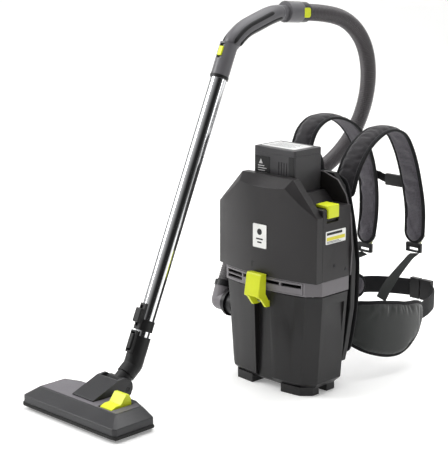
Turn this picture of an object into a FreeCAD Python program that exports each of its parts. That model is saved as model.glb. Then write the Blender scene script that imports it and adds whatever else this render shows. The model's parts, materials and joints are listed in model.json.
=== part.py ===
"""Battery backpack vacuum cleaner, modelled as an assembly of separate pieces.

Frame: millimetres, +Z up. The origin is on the floor under the middle of the dust container.
The front of the machine (latch, badge, exhaust grille) faces -Y and the wearer's back is at +Y,
so +X is the side with the battery release. The wand stands in front of the machine on its floor
tool, and its grip is joined to the inlet on the -X side by the suction hose.
"""
import FreeCAD, Part
import Sketcher
import math
import os
import re

from FreeCAD import Placement, Rotation, Vector

doc = FreeCAD.newDocument("BackpackVacuum")

# ---------------------------------------------------------------- driving dimensions
DIMENSIONS = {
    # machine body, seen from above
    "shell_half": 154, "front_half": 126, "front_y": 64, "chamfer_y": 34, "bow_radius": 504,
    "cover_back": 36, "housing_back": 62, "wall": 3,
    # levels of the machine body
    "rim_z": 245, "ring_z": 248, "ring_top": 282, "shoulder_z": 434, "cover_top": 515,
    "cover_top_half": 79, "deck_z": 424, "side_top": 452,
    # dust container
    "bin_floor": 18, "bin_half": 151, "bin_base_half": 136, "bin_front_half": 123,
    "bin_base_front_half": 107, "bin_front_y": 58, "bin_base_front_y": 52, "bin_back": 60,
    "channel_half": 25, "channel_y": 54, "latch_pin_y": -66, "latch_pin_z": 214,
    # battery
    "battery_half": 64, "battery_front": 33, "battery_back": 61, "battery_z": 436,
    "battery_top": 575,
    # inlet and hose
    "inlet_y": -15, "inlet_z": 170, "inlet_x": -190, "hose_od": 42, "pipe_od": 48, "pipe_id": 35,
    # suction wand
    "wand_x": -140, "wand_lean": 23.9, "tube_od": 38, "tube_wall": 1, "tube_length": 610,
    "inner_od": 35, "knee_y": -354, "knee_z": 94,
    # floor tool
    "tool_half": 160, "tool_front": -552, "tool_back": -417, "tool_top": 52, "wheel_radius": 13,
    "pivot_y": -403, "pivot_z": 56,
    # harness
    "frame_front": 70.5, "frame_back": 86, "pad_back": 112, "strap_x": 80, "strap_width": 64,
    "strap_thick": 12,
}

sheet = doc.addObject("Spreadsheet::Sheet", "Dims")
for row, (alias, value) in enumerate(DIMENSIONS.items(), start=1):
    sheet.set(f"A{row}", alias)
    sheet.set(f"B{row}", str(value))
    sheet.setAlias(f"B{row}", alias)
doc.recompute()


def size(alias):
    """A driving dimension, read from the sheet."""
    return float(sheet.get(alias))


def bound(text):
    """The expression with each driving dimension's name made a reference to its cell."""
    return re.sub(r"[a-z]+(_[a-z]+)*",
                  lambda m: "Dims." + m.group(0) if m.group(0) in DIMENSIONS else m.group(0),
                  str(text))


def value_of(text):
    """The number that an expression of driving dimensions has now."""
    return float(sheet.evalExpression(bound(text)))


# ---------------------------------------------------------------- sketches and features
SIDES = {"right": 1, "left": -1}
NODES = []


def node(item, label):
    """Gives the piece its name and puts it on the list of pieces to write."""
    item.Label = label
    NODES.append(item)
    return item


def new_body(label):
    return node(doc.addObject("PartDesign::Body", "Body_" + label), label)


def sketch(body, plane, level, vertices, arcs=None):
    """A closed outline on one of the body's own planes. Each vertex is bound to two expressions.
    arcs maps an edge's number to (radius, side): side +1 bulges to the right of the way round."""
    sk = body.newObject("Sketcher::SketchObject", "Outline")
    support = [f for f in body.Origin.OriginFeatures if f.Role == plane + "_Plane"][0]
    sk.AttachmentSupport = [(support, "")]
    sk.MapMode = "FlatFace"
    sk.setExpression("AttachmentOffset.Base.z", bound(level))
    points = [Vector(value_of(a), value_of(b), 0) for a, b in vertices]
    count, starts, ends = len(points), {}, {}
    for i in range(count):
        p, q = points[i], points[(i + 1) % count]
        if arcs and i in arcs:
            radius, side = arcs[i]
            chord = q - p
            sag = value_of(radius) - math.sqrt(value_of(radius) ** 2 - chord.Length ** 2 / 4)
            middle = (p + q) / 2 + Vector(chord.y, -chord.x, 0).normalize() * sag * side
            ends_in_order = (p, middle, q) if side > 0 else (q, middle, p)
            sk.addGeometry(Part.ArcOfCircle(*ends_in_order), False)
            starts[i], ends[i] = (1, 2) if side > 0 else (2, 1)
        else:
            sk.addGeometry(Part.LineSegment(p, q), False)
            starts[i], ends[i] = 1, 2
    for i in range(count):
        sk.addConstraint(Sketcher.Constraint("Coincident", i, ends[i], (i + 1) % count,
                                     starts[(i + 1) % count]))
    for i, (a, b) in enumerate(vertices):
        for kind, text, now in (("DistanceX", a, points[i].x), ("DistanceY", b, points[i].y)):
            number = sk.addConstraint(Sketcher.Constraint(kind, -1, 1, i, starts[i], now))
            sk.setExpression(f"Constraints[{number}]", bound(text))
    for i, (radius, _) in (arcs or {}).items():
        number = sk.addConstraint(Sketcher.Constraint("Radius", i, value_of(radius)))
        sk.setExpression(f"Constraints[{number}]", bound(radius))
    return sk


def round_sketch(body, plane, level, centre, radius):
    """A circle on one of the body's own planes."""
    sk = body.newObject("Sketcher::SketchObject", "Circle")
    support = [f for f in body.Origin.OriginFeatures if f.Role == plane + "_Plane"][0]
    sk.AttachmentSupport = [(support, "")]
    sk.MapMode = "FlatFace"
    sk.setExpression("AttachmentOffset.Base.z", bound(level))
    x, y = value_of(centre[0]), value_of(centre[1])
    sk.addGeometry(Part.Circle(Vector(x, y, 0), Vector(0, 0, 1), value_of(radius)), False)
    for kind, text, now in (("DistanceX", centre[0], x), ("DistanceY", centre[1], y)):
        number = sk.addConstraint(Sketcher.Constraint(kind, -1, 1, 0, 3, now))
        sk.setExpression(f"Constraints[{number}]", bound(text))
    number = sk.addConstraint(Sketcher.Constraint("Radius", 0, value_of(radius)))
    sk.setExpression(f"Constraints[{number}]", bound(radius))
    return sk


def extrude(body, plane, low, high, outline, cut=False):
    """Pads or cuts an outline from low to high along the plane's world axis. The normal of the XZ
    plane points to -Y, so there the sketch lies at the high end."""
    level = f"-({high})" if plane == "XZ" else str(low)
    if isinstance(outline, dict):
        sk = round_sketch(body, plane, level, outline["centre"], outline["radius"])
    else:
        vertices, arcs = outline if isinstance(outline, tuple) else (outline, None)
        sk = sketch(body, plane, level, vertices, arcs)
    feature = body.newObject("PartDesign::Pocket" if cut else "PartDesign::Pad",
                             "Cut" if cut else "Pad")
    feature.Profile = sk
    feature.setExpression("Length", bound(f"({high}) - ({low})"))
    feature.Reversed = cut
    before = body.Shape.Volume if cut else 0
    doc.recompute()
    if cut and not body.Shape.Volume < before - 1e-6:
        raise RuntimeError(f"a cut in {body.Label} removed nothing: {before:.0f}, "
                           f"{body.Shape.Volume:.0f}, {feature.State}")
    return feature


def rectangle(a0, b0, a1, b1):
    return [(a0, b0), (a1, b0), (a1, b1), (a0, b1)]


def edges_where(shape, test):
    """The names of the edges whose middle point passes the test."""
    return [f"Edge{i}" for i, e in enumerate(shape.Edges, start=1)
            if test(e.valueAt((e.FirstParameter + e.LastParameter) / 2), e)]


def dress(body, kind, amount, test):
    """A Fillet or Chamfer on the body's edges that pass the test."""
    doc.recompute()
    tip = body.Tip
    names = edges_where(tip.Shape, test)
    feature = body.newObject("PartDesign::" + kind, kind)
    feature.Base = (tip, names)
    feature.setExpression("Radius" if kind == "Fillet" else "Size", bound(amount))
    doc.recompute()
    if not names or feature.Shape.isNull() or not feature.Shape.isValid():
        raise RuntimeError(f"{kind} on {body.Label} failed ({len(names)} edges)")
    return feature


def primitive(kind, label, at=(0, 0, 0), turn=None, **sizes):
    """A Part primitive whose sizes and place are bound to the sheet."""
    item = doc.addObject("Part::" + kind, "Prim_" + label)
    item.Label = label + "_form"
    if turn:
        item.Placement = Placement(Vector(0, 0, 0), turn)
    for axis, text in zip("xyz", at):
        item.setExpression("Placement.Base." + axis, bound(text))
    for name, text in sizes.items():
        item.setExpression(name, bound(text))
    return item


def combine(kind, label, *items):
    """Cut (first less second), MultiFuse, MultiCommon or Compound of Part items."""
    whole = doc.addObject("Part::" + kind, label)
    if kind == "Cut":
        whole.Base, whole.Tool = items
    elif kind == "Compound":
        whole.Links = list(items)
    else:
        whole.Shapes = list(items)
    whole.Label = label + "_form"
    return whole


def raw(label, shape, place=None):
    """A piece whose shape is worked out with Part's own functions from the sheet's sizes."""
    item = doc.addObject("Part::Feature", "Shape_" + label)
    item.Shape = shape
    if place:
        item.Placement = place
    return node(item, label)


ALONG_X = Rotation(Vector(0, 1, 0), 90)
ALONG_Y = Rotation(Vector(1, 0, 0), -90)
WAND = Rotation(Vector(1, 0, 0), -size("wand_lean"))
KNEE = Vector(size("wand_x"), size("knee_y"), size("knee_z"))


SWIVEL = Vector(size("wand_x"), -378, 76)


def wand_point(along):
    """A point on the wand's axis, by its distance above the knee."""
    return KNEE + WAND.multVec(Vector(0, 0, along))


def cylinder_between(start, end, radius):
    return Part.makeCylinder(radius, (end - start).Length, start, end - start)


# ---------------------------------------------------------------- outlines of the machine body
def plan(front_half, front_y, side, chamfer_y, back):
    """The body from above: a bowed front, two chamfered corners and straight sides."""
    vertices = [(f"-({front_half})", f"-({front_y})"), (front_half, f"-({front_y})"),
                (side, f"-({chamfer_y})"), (side, back), (f"-({side})", back),
                (f"-({side})", f"-({chamfer_y})")]
    return vertices, {0: ("bow_radius", 1)}


def arch(half, top_half, bottom, shoulder, top):
    """The upper housing from the front: straight sides and an angular arch."""
    return [(f"-({half})", bottom), (half, bottom), (half, shoulder), (top_half, top),
            (f"-({top_half})", top), (f"-({half})", shoulder)]


# ---------------------------------------------------------------- dust container
def loft(body, *levels, cut=False):
    """Straight-sided solid through outlines at rising levels, given as (level, outline) pairs."""
    sections = []
    for level, outline in levels:
        vertices, arcs = outline if isinstance(outline, tuple) else (outline, None)
        sections.append(sketch(body, "XY", level, vertices, arcs))
    feature = body.newObject("PartDesign::" + ("Subtractive" if cut else "Additive") + "Loft",
                             "Loft")
    feature.Profile = sections[0]
    feature.Sections = sections[1:]
    feature.Ruled = True
    before = body.Shape.Volume if cut else 0
    doc.recompute()
    if cut and not body.Shape.Volume < before - 1e-6:
        raise RuntimeError(f"a lofted cut in {body.Label} removed nothing")
    return feature


def make_dust_container():
    body = new_body("dust_container")
    loft(body,
         ("bin_floor", plan("bin_base_front_half - 8", "bin_base_front_y - 12",
                            "bin_base_half - 12", "22", "bin_back - 14")),
         ("bin_floor + 14", plan("bin_base_front_half", "bin_base_front_y", "bin_base_half",
                                 "26", "bin_back - 3")),
         ("rim_z", plan("bin_front_half", "bin_front_y", "bin_half", "30", "bin_back")))
    loft(body,
         ("bin_floor + 6", rectangle("-110", "-34", "110", "bin_back - 18")),
         ("rim_z", rectangle("-132", "-42", "132", "bin_back - 4")), cut=True)
    extrude(body, "XY", "0", "rim_z",
            rectangle("-channel_half", "-100", "channel_half", "-channel_y"), cut=True)
    for side in ("", "-"):
        low, high = ("144", "156") if not side else ("-156", "-144")
        extrude(body, "YZ", low, high,
                [("-12", "34"), ("46", "34"), ("50", "222"), ("-12", "222")], cut=True)
        extrude(body, "XY", "0", "bin_floor + 3",
                [(side + "46", "-54"), (side + "100", "-48"), (side + "122", "-26"),
                 (side + "122", "-4"), (side + "46", "-4")])
        extrude(body, "XY", "0", "bin_floor + 3",
                rectangle(side + "78", "24", side + "122", "52"))
    extrude(body, "XY", "0", "bin_floor + 3", rectangle("-18", "-12", "18", "12"))
    extrude(body, "YZ", "-160", "-110", {"centre": ("inlet_y", "inlet_z"), "radius": "27"},
            cut=True)
    extrude(body, "YZ", "-30", "30", {"centre": ("latch_pin_y", "latch_pin_z"), "radius": "2.5"},
            cut=True)


def make_container_fittings():
    tube = primitive("Cylinder", "port_tube", ("-168", "inlet_y", "inlet_z"), ALONG_X,
                     Radius="27", Height="34")
    flange = primitive("Cylinder", "port_flange", ("-158", "inlet_y", "inlet_z"), ALONG_X,
                       Radius="33", Height="6")
    bore = primitive("Cylinder", "port_bore", ("-170", "inlet_y", "inlet_z"), ALONG_X,
                     Radius="20", Height="40")
    outside = combine("MultiFuse", "inlet_port_outside", tube, flange)
    node(combine("Cut", "inlet_port_cut", outside, bore), "inlet_port")

    seal = new_body("container_seal")
    extrude(seal, "XY", "rim_z", "ring_z",
            plan("bin_front_half - 8", "bin_front_y - 6", "bin_half - 6", "24", "bin_back - 2"))
    extrude(seal, "XY", "rim_z - 1", "ring_z + 1",
            rectangle("-124", "-40", "124", "bin_back - 6"), cut=True)

    basket = new_body("filter_basket")
    extrude(basket, "XY", "150", "240", rectangle("-120", "-36", "120", "44"))
    extrude(basket, "XY", "236", "240", rectangle("-126", "-38", "126", "49"))
    extrude(basket, "XY", "153", "241", rectangle("-117", "-33", "117", "41"), cut=True)

    bag = new_body("filter_bag")
    extrude(bag, "XY", "30", "146", rectangle("-104", "-31", "104", "39"))
    dress(bag, "Fillet", "24", lambda p, e: abs(e.tangentAt(e.FirstParameter).z) > 0.9)
    dress(bag, "Fillet", "18", lambda p, e: p.z < 31 or p.z > 145)

    node(primitive("Cylinder", "latch_pin", ("-30", "latch_pin_y", "latch_pin_z"), ALONG_X,
                   Radius="2.5", Height="60"), "latch_pin")


def body_pattern(body, feature, axis, length, count):
    """Repeats a feature along one of the body's own axes."""
    pattern = body.newObject("PartDesign::LinearPattern", "Pattern")
    pattern.Originals = [feature]
    line = [f for f in body.Origin.OriginFeatures if f.Role == axis + "_Axis"][0]
    pattern.Direction = (line, [""])
    pattern.setExpression("Length", bound(length))
    pattern.Occurrences = count
    doc.recompute()
    return pattern


def make_latch():
    """The yellow lever: a tapered bow with two legs that turn on the pin in the bin's channel."""
    body = new_body("latch")
    side_view = [("-82", "288"), ("-98", "290"), ("-101", "286"), ("-109", "236"), ("-97", "228"),
                 ("-82", "208"), ("-72", "207"), ("-60", "207"), ("-60", "221"), ("-72", "221"),
                 ("-84", "240")]
    extrude(body, "YZ", "-23", "23", side_view)
    dress(body, "Fillet", "2", lambda p, e: p.y < -97)
    extrude(body, "XY", "200", "282", rectangle("-17", "-97.5", "17", "-55"), cut=True)
    extrude(body, "XZ", "-130", "-60", [("-16", "200"), ("16", "200"), ("14", "236"),
                                        ("-14", "236")], cut=True)
    extrude(body, "YZ", "-24", "24", {"centre": ("latch_pin_y", "latch_pin_z"),
                                      "radius": "2.55"}, cut=True)
    return body


# ---------------------------------------------------------------- motor head
def make_head_shells():
    ring = new_body("vent_ring")
    extrude(ring, "XY", "ring_z", "ring_top",
            plan("front_half - 1", "front_y - 2", "shell_half - 2", "chamfer_y - 1",
                 "housing_back"))
    extrude(ring, "XY", "ring_z - 1", "ring_top + 1",
            rectangle("-130", "-49", "130", "housing_back - 5"), cut=True)
    extrude(ring, "XZ", "-90", "-45", rectangle("-120", "ring_z + 4", "120", "ring_top - 3"),
            cut=True)

    grille = new_body("vent_grille")
    vertices, arcs = ([("-119.5", "-64.5"), ("119.5", "-64.5"), ("119.5", "-58"),
                       ("-119.5", "-58")], {0: ("bow_radius", 1), 2: ("bow_radius", -1)})
    extrude(grille, "XY", "ring_z + 4.3", "ring_top - 3.3", (vertices, arcs))
    first = extrude(grille, "XZ", "-95", "-50", rectangle("-116", "ring_z + 7", "-62",
                                                          "ring_z + 15"), cut=True)
    body_pattern(grille, first, "X", "178", 4)
    second = extrude(grille, "XZ", "-95", "-50", rectangle("-116", "ring_z + 18", "-62",
                                                           "ring_z + 26"), cut=True)
    grille.Tip = body_pattern(grille, second, "X", "178", 4)

    cover = new_body("front_cover")
    extrude(cover, "XZ", "-82", "-cover_back",
            arch("shell_half", "cover_top_half", "ring_top", "shoulder_z", "cover_top"))
    dress(cover, "Chamfer", "26",
          lambda p, e: abs(p.y + 82) < 0.1 and p.z > size("ring_top") + 1)
    outside_the_bow = [("-front_half", "-front_y"), ("-170", "-52"), ("-170", "-110"),
                       ("170", "-110"), ("170", "-52"), ("front_half", "-front_y")]
    extrude(cover, "XY", "ring_top - 1", "cover_top + 1",
            (outside_the_bow, {5: ("bow_radius", -1)}), cut=True)
    extrude(cover, "XZ", "-62", "-cover_back + 1",
            arch("front_half - 6", "cover_top_half - 22", "ring_top - 1", "shoulder_z - 18",
                 "cover_top - 26"), cut=True)
    extrude(cover, "XZ", "-50", "-cover_back + 1",
            arch("shell_half - 5", "cover_top_half - 3", "ring_top - 1", "shoulder_z - 3",
                 "cover_top - 5"), cut=True)

    housing = new_body("side_housing")
    extrude(housing, "XZ", "-cover_back", "housing_back",
            [("-shell_half", "ring_top"), ("shell_half", "ring_top"), ("shell_half", "side_top"),
             ("100", "side_top"), ("76", "side_top + 24"), ("-76", "side_top + 24"),
             ("-100", "side_top"), ("-shell_half", "side_top")])
    extrude(housing, "XY", "deck_z", "side_top + 30",
            rectangle("-battery_half - 1.5", "-cover_back - 1", "battery_half + 1.5",
                      "housing_back + 1"), cut=True)
    extrude(housing, "XY", "ring_top - 1", "deck_z - 6",
            rectangle("-shell_half + 6", "-cover_back - 1", "shell_half - 6",
                      "housing_back - wall"), cut=True)
    extrude(housing, "XZ", "-22", "18",
            [("116", "side_top + 1"), ("116", "side_top - 9"), ("147", "side_top - 9"),
             ("147", "side_top - 32"), ("160", "side_top - 32"), ("160", "side_top + 1")],
            cut=True)

    shell = new_body("rear_shell")
    extrude(shell, "XZ", "housing_back", "frame_front - 0.5",
            [("-154", "ring_top"), ("154", "ring_top"), ("158", "345"), ("152", "425"),
             ("136", "472"), ("112", "502"), ("70", "516"), ("-70", "516"), ("-112", "502"),
             ("-136", "472"), ("-152", "425"), ("-158", "345")])
    dress(shell, "Fillet", "2.5", lambda p, e: abs(p.y - size("housing_back")) < 0.1
          and p.z > size("ring_top") + 1)


def make_head_insides():
    deck = new_body("motor_deck")
    extrude(deck, "XY", "ring_top + 0.2", "ring_top + 5",
            rectangle("-146", "-34", "146", "housing_back - wall - 1"))
    extrude(deck, "XY", "ring_top - 1", "ring_top + 6", {"centre": ("0", "12"), "radius": "26"},
            cut=True)

    motor = new_body("suction_motor")
    turned(motor, [("27", "288"), ("44", "288"), ("44", "334"), ("30", "342"), ("30", "404"),
                   ("5.5", "404"), ("5.5", "400"), ("26", "400"), ("26", "338"), ("5.5", "338"),
                   ("5.5", "334"), ("41", "330"), ("41", "291"), ("27", "291")])
    motor.Placement = Placement(Vector(0, 12, 0), Rotation())

    fan = new_body("impeller")
    turned(fan, [("4", "294"), ("38", "294"), ("38", "296"), ("12", "300"), ("12", "326"),
                 ("4", "326")])
    blade = extrude(fan, "XZ", "-1", "1", [("10", "295"), ("37", "295"), ("34", "320"),
                                           ("10", "324")])
    polar = fan.newObject("PartDesign::PolarPattern", "Blades")
    polar.Originals = [blade]
    polar.Axis = ([f for f in fan.Origin.OriginFeatures if f.Role == "Z_Axis"][0], [""])
    polar.Angle = 360
    polar.Occurrences = 9
    doc.recompute()
    fan.Tip = polar
    fan.Placement = Placement(Vector(0, 12, 0), Rotation())

    node(primitive("Cylinder", "motor_shaft", ("0", "12", "292"), Radius="4", Height="110"),
         "motor_shaft")

    media = new_body("exhaust_filter")
    extrude(media, "XY", "ring_z + 6", "ring_top - 5", rectangle("-116", "-48", "116", "-30"))

    board = new_body("control_board")
    extrude(board, "YZ", "100", "102", rectangle("-20", "300", "50", "400"))
    for z in ("312", "340", "372"):
        extrude(board, "YZ", "101", "114", rectangle("-8", z, "14", z + " + 16"))

    socket = new_body("battery_socket")
    extrude(socket, "XY", "deck_z + 0.2", "battery_z - 4", rectangle("-44", "-20", "44", "46"))
    extrude(socket, "XY", "deck_z + 1", "battery_z - 0.5", rectangle("-30", "-4", "30", "30"))

    badge = primitive("Box", "badge", ("-21", "-81.5", "347"), Length="42", Width="1.2",
                      Height="56")
    label = primitive("Box", "side_label", ("shell_half", "-26", "370"), Length="0.8",
                      Width="70", Height="30")
    node(combine("Compound", "name_plates", badge, label), "name_plates")

    screws = []
    for side in (1, -1):
        for y, z in ((8, 315), (48, 300)):
            at = Vector(side * size("shell_half"), y, z)
            screws.append(Part.makeCylinder(4, 1.0, at, Vector(side, 0, 0)))
    raw("housing_screws", Part.makeCompound(screws))


def turned(body, profile):
    """A full turn of a half section, drawn as (radius, height), about the body's Z axis."""
    sk = sketch(body, "XZ", "0", profile)
    feature = body.newObject("PartDesign::Revolution", "Turned")
    feature.Profile = sk
    feature.ReferenceAxis = ([f for f in body.Origin.OriginFeatures if f.Role == "Z_Axis"][0],
                             [""])
    feature.Angle = 360
    doc.recompute()
    return feature


def make_battery():
    case = new_body("battery_case")
    box = rectangle("-battery_half", "-battery_front", "battery_half", "battery_back")
    extrude(case, "XY", "battery_z", "battery_top - 14", box)
    dress(case, "Fillet", "5", lambda p, e: abs(e.tangentAt(e.FirstParameter).z) > 0.9)
    extrude(case, "XY", "battery_z + 3", "battery_top - 12",
            rectangle("-battery_half + 3", "-battery_front + 3", "battery_half - 3",
                      "battery_back - 3"), cut=True)
    groove = extrude(case, "XZ", "-battery_front - 1", "-battery_front + 1.2",
                     rectangle("14", "battery_z + 60", "17", "battery_top - 30"), cut=True)
    case.Tip = body_pattern(case, groove, "X", "24", 4)

    lid = new_body("battery_lid")
    extrude(lid, "XY", "battery_top - 14", "battery_top", box)
    dress(lid, "Fillet", "5", lambda p, e: abs(e.tangentAt(e.FirstParameter).z) > 0.9)
    dress(lid, "Fillet", "2", lambda p, e: abs(p.z - size("battery_top")) < 0.1)

    radius, height = 10.5, 70.0
    cells = [Part.makeCylinder(radius, height,
                               Vector(x, y, size("battery_z") + 6 + level * (height + 1)))
             for level in (0,) for x in (-45, -22.5, 0, 22.5, 45) for y in (2, 26)]
    raw("battery_cells", Part.makeCompound(cells))


def make_release_lever():
    body = new_body("release_lever")
    extrude(body, "XZ", "-21", "17", [("118", "side_top + 0.5"), ("149", "side_top + 0.5"),
                                      ("149", "side_top - 22"), ("157", "side_top - 22"),
                                      ("157", "side_top + 8"), ("118", "side_top + 8")])
    dress(body, "Fillet", "2", lambda p, e: p.x > 156 or abs(p.z - size("side_top") - 8) < 0.1)
    return body


# ---------------------------------------------------------------- hose and its fittings
# The hose's route from the inlet to the grip, chosen by hand, in millimetres.
HOSE_ROUTE = [(-190, 1, 214), (-193, 33, 283), (-198, 90, 352), (-203, 172, 400),
              (-203, 257, 413), (-198, 349, 438), (-190, 438, 484), (-181, 501, 559),
              (-171, 525, 657), (-159, 497, 755), (-147, 423, 824), (-140, 326, 858),
              (-140, 226, 865)]


def hose_path(route):
    """Straight runs joined by tangent arcs, each as large as its two runs allow."""
    points = [Vector(*p) for p in route]
    edges, start, radii = [], points[0], []
    for before, corner, after in zip(points, points[1:], points[2:]):
        into, out = (corner - before).normalize(), (after - corner).normalize()
        turn = into.getAngle(out)
        back = 0.45 * min((corner - before).Length, (after - corner).Length)
        radii.append(back / math.tan(turn / 2))
        first, last = corner - into * back, corner + out * back
        middle_way = (out - into).normalize()
        depth = radii[-1] * (1 / math.cos(turn / 2) - 1)
        edges.append(Part.LineSegment(start, first).toShape())
        edges.append(Part.Arc(first, corner + middle_way * depth, last).toShape())
        start = last
    edges.append(Part.LineSegment(start, points[-1]).toShape())
    return Part.Wire(edges), radii


def make_hose():
    wire, radii = hose_path(HOSE_ROUTE)
    start = Vector(*HOSE_ROUTE[0])
    way = Vector(*HOSE_ROUTE[1]) - start
    radius = size("hose_od") / 2
    ring = Part.Wire(Part.makeCircle(radius, start, way))
    tube = wire.makePipeShell([ring], True, True)
    exact = math.pi * radius ** 2 * wire.Length
    print(f"hose length {wire.Length:.0f} mm, volume share {tube.Volume / exact:.4f}")
    print("hose radii", [round(r) for r in radii])
    raw("hose", tube)

    # elbow: a level spigot from the port, a ball corner and a leg that leans back to the hose
    port = Vector(-168, size("inlet_y"), size("inlet_z"))
    corner = Vector(size("inlet_x"), size("inlet_y"), size("inlet_z"))
    leg_end = start - way.normalize() * 14
    way = Vector(*HOSE_ROUTE[1]) - start
    way.normalize()
    outer, inner = size("pipe_od") / 2, size("pipe_id") / 2

    def elbow(radius, extra):
        return Part.makeSphere(radius, corner).fuse(
            [cylinder_between(port + Vector(extra, 0, 0), corner, radius),
             cylinder_between(corner, leg_end + way * extra, radius)])

    past_port = Part.makeCylinder(60, 30, port, Vector(1, 0, 0))
    past_leg = Part.makeCylinder(60, 30, leg_end, way)
    raw("hose_elbow", elbow(outer, 12).cut([elbow(inner, 14), past_port, past_leg])
        .removeSplitter())

    def ring_at(at, direction, outside, inside, length):
        return Part.makeCylinder(outside, length, at, direction).cut(
            Part.makeCylinder(inside, length + 2, at - direction, direction))

    raw("hose_cuff_inlet", Part.makeCylinder(26, 14, leg_end, way).cut(
        Part.makeCylinder(inner, 20, leg_end - way * 2, way)))
    end = Vector(*HOSE_ROUTE[-1])
    out = (end - Vector(*HOSE_ROUTE[-2])).normalize()
    cuff = ring_at(end, out, 25, 17, 22).fuse(ring_at(end + out * 22, out, 20.45, 17, 20))
    window = Part.makeBox(8, 13, 9, Vector(-4, -6.5, -4.5))
    window.Placement = Placement(end + out * 13 + cuff_side(out) * 25, cuff_turn(out))
    raw("hose_cuff_grip", cuff.cut(window))
    button = Part.makeBox(5, 11, 7.4, Vector(-1.5, -5.5, -3.7))
    button = button.makeFillet(1, button.Edges)
    button.Placement = Placement(end + out * 13 + cuff_side(out) * 25, cuff_turn(out))
    raw("cuff_button", button)
    return end, out


def cuff_side(out):
    """The way from the cuff's axis to its button: to +X and square to the axis."""
    side = Vector(1, 0, 0)
    return (side - out * side.dot(out)).normalize()


def cuff_turn(out):
    """Turns X to the button's side and Y along the cuff."""
    side = cuff_side(out)
    return Rotation(side, out, side.cross(out), "XYZ")


# ---------------------------------------------------------------- wand
TUBE_FOOT = 84.0


def make_wand(cuff_end, cuff_way):
    length, radius = size("tube_length"), size("tube_od") / 2
    outer = primitive("Cylinder", "outer_tube_solid", Radius="tube_od/2", Height="tube_length")
    bore = primitive("Cylinder", "outer_tube_bore", ("0", "0", "-1"),
                     Radius="tube_od/2 - tube_wall", Height="tube_length + 2")
    tube = node(combine("Cut", "outer_tube_cut", outer, bore), "outer_tube")
    tube.Placement = Placement(wand_point(TUBE_FOOT), WAND)

    inner = primitive("Cylinder", "inner_tube_solid", Radius="inner_od/2",
                      Height="tube_length - 30")
    hollow = primitive("Cylinder", "inner_tube_bore", ("0", "0", "-1"),
                       Radius="inner_od/2 - tube_wall", Height="tube_length")
    tube = node(combine("Cut", "inner_tube_cut", inner, hollow), "inner_tube")
    tube.Placement = Placement(wand_point(TUBE_FOOT - 44), WAND)

    # collar that carries the telescope button, clamped on the foot of the outer tube
    collar = Part.makeCylinder(radius + 2.2, 26, Vector(0, 0, -3)).cut(
        Part.makeCylinder(radius, 30, Vector(0, 0, 0))).cut(
        Part.makeCylinder(size("inner_od") / 2 + 0.1, 40, Vector(0, 0, -8)))
    rail = Part.makeBox(17, 8, 62, Vector(-8.5, -radius - 6, -3)).cut(
        Part.makeCylinder(radius, 80, Vector(0, 0, -8)))
    guide = Part.makeBox(11, 4.5, 50, Vector(-5.5, -radius - 7, 4))
    raw("tube_collar", collar.fuse(rail).cut(guide).removeSplitter(),
        Placement(wand_point(TUBE_FOOT), WAND))
    button = Part.makeBox(20, 10, 34, Vector(-10, -radius - 16.3, 12))
    button = button.makeFillet(3, button.Edges).fuse(
        Part.makeBox(10.6, 6, 26, Vector(-5.3, -radius - 8.5, 15))).removeSplitter()
    raw("tube_button", button, Placement(wand_point(TUBE_FOOT), WAND))

    # bent grip: a socket over the tube, two bends and a socket for the hose's cuff
    top = wand_point(TUBE_FOOT + length)
    way = WAND.multVec(Vector(0, 0, 1))
    seat = cuff_end + cuff_way * 22.4
    first_bend = top + way * 105
    second_bend = Vector(size("wand_x"), 118, 870)
    path, radii = hose_path([tuple(top - way * 30), tuple(first_bend), tuple(second_bend),
                             tuple(seat)])
    print("grip radii", [round(r) for r in radii])

    def along(tube_radius):
        ring = Part.Wire(Part.makeCircle(tube_radius, top - way * 30, way))
        return path.makePipeShell([ring], True, True)

    outside = along(18.0).fuse([Part.makeCylinder(21.5, 84, top, way),
                                Part.makeCylinder(26.0, 50, seat, cuff_way)])
    spigot_seat = Part.makeCylinder(20.5, 22, seat - cuff_way, cuff_way)
    trough = Part.makeBox(14, 8, 36, Vector(-7, -23.5, 44))
    trough.Placement = Placement(top, WAND)
    raw("handle_pipe", outside.cut([along(15.5), spigot_seat, trough]).removeSplitter())

    slider = Part.makeBox(12.6, 6.5, 22, Vector(-6.3, -23.5, 50))
    slider = slider.makeFillet(1.5, slider.Edges)
    slider.Placement = Placement(top, WAND)
    raw("air_slider", slider)

    # soft sleeve on the straight stretch between the two bends
    run = (second_bend - first_bend).normalize()
    sleeve_start = first_bend + run * 66
    sleeve_length = (second_bend - first_bend).Length - 108
    raw("handle_grip", Part.makeCylinder(20, sleeve_length, sleeve_start, run).cut(
        Part.makeCylinder(18, sleeve_length, sleeve_start, run)))


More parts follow.
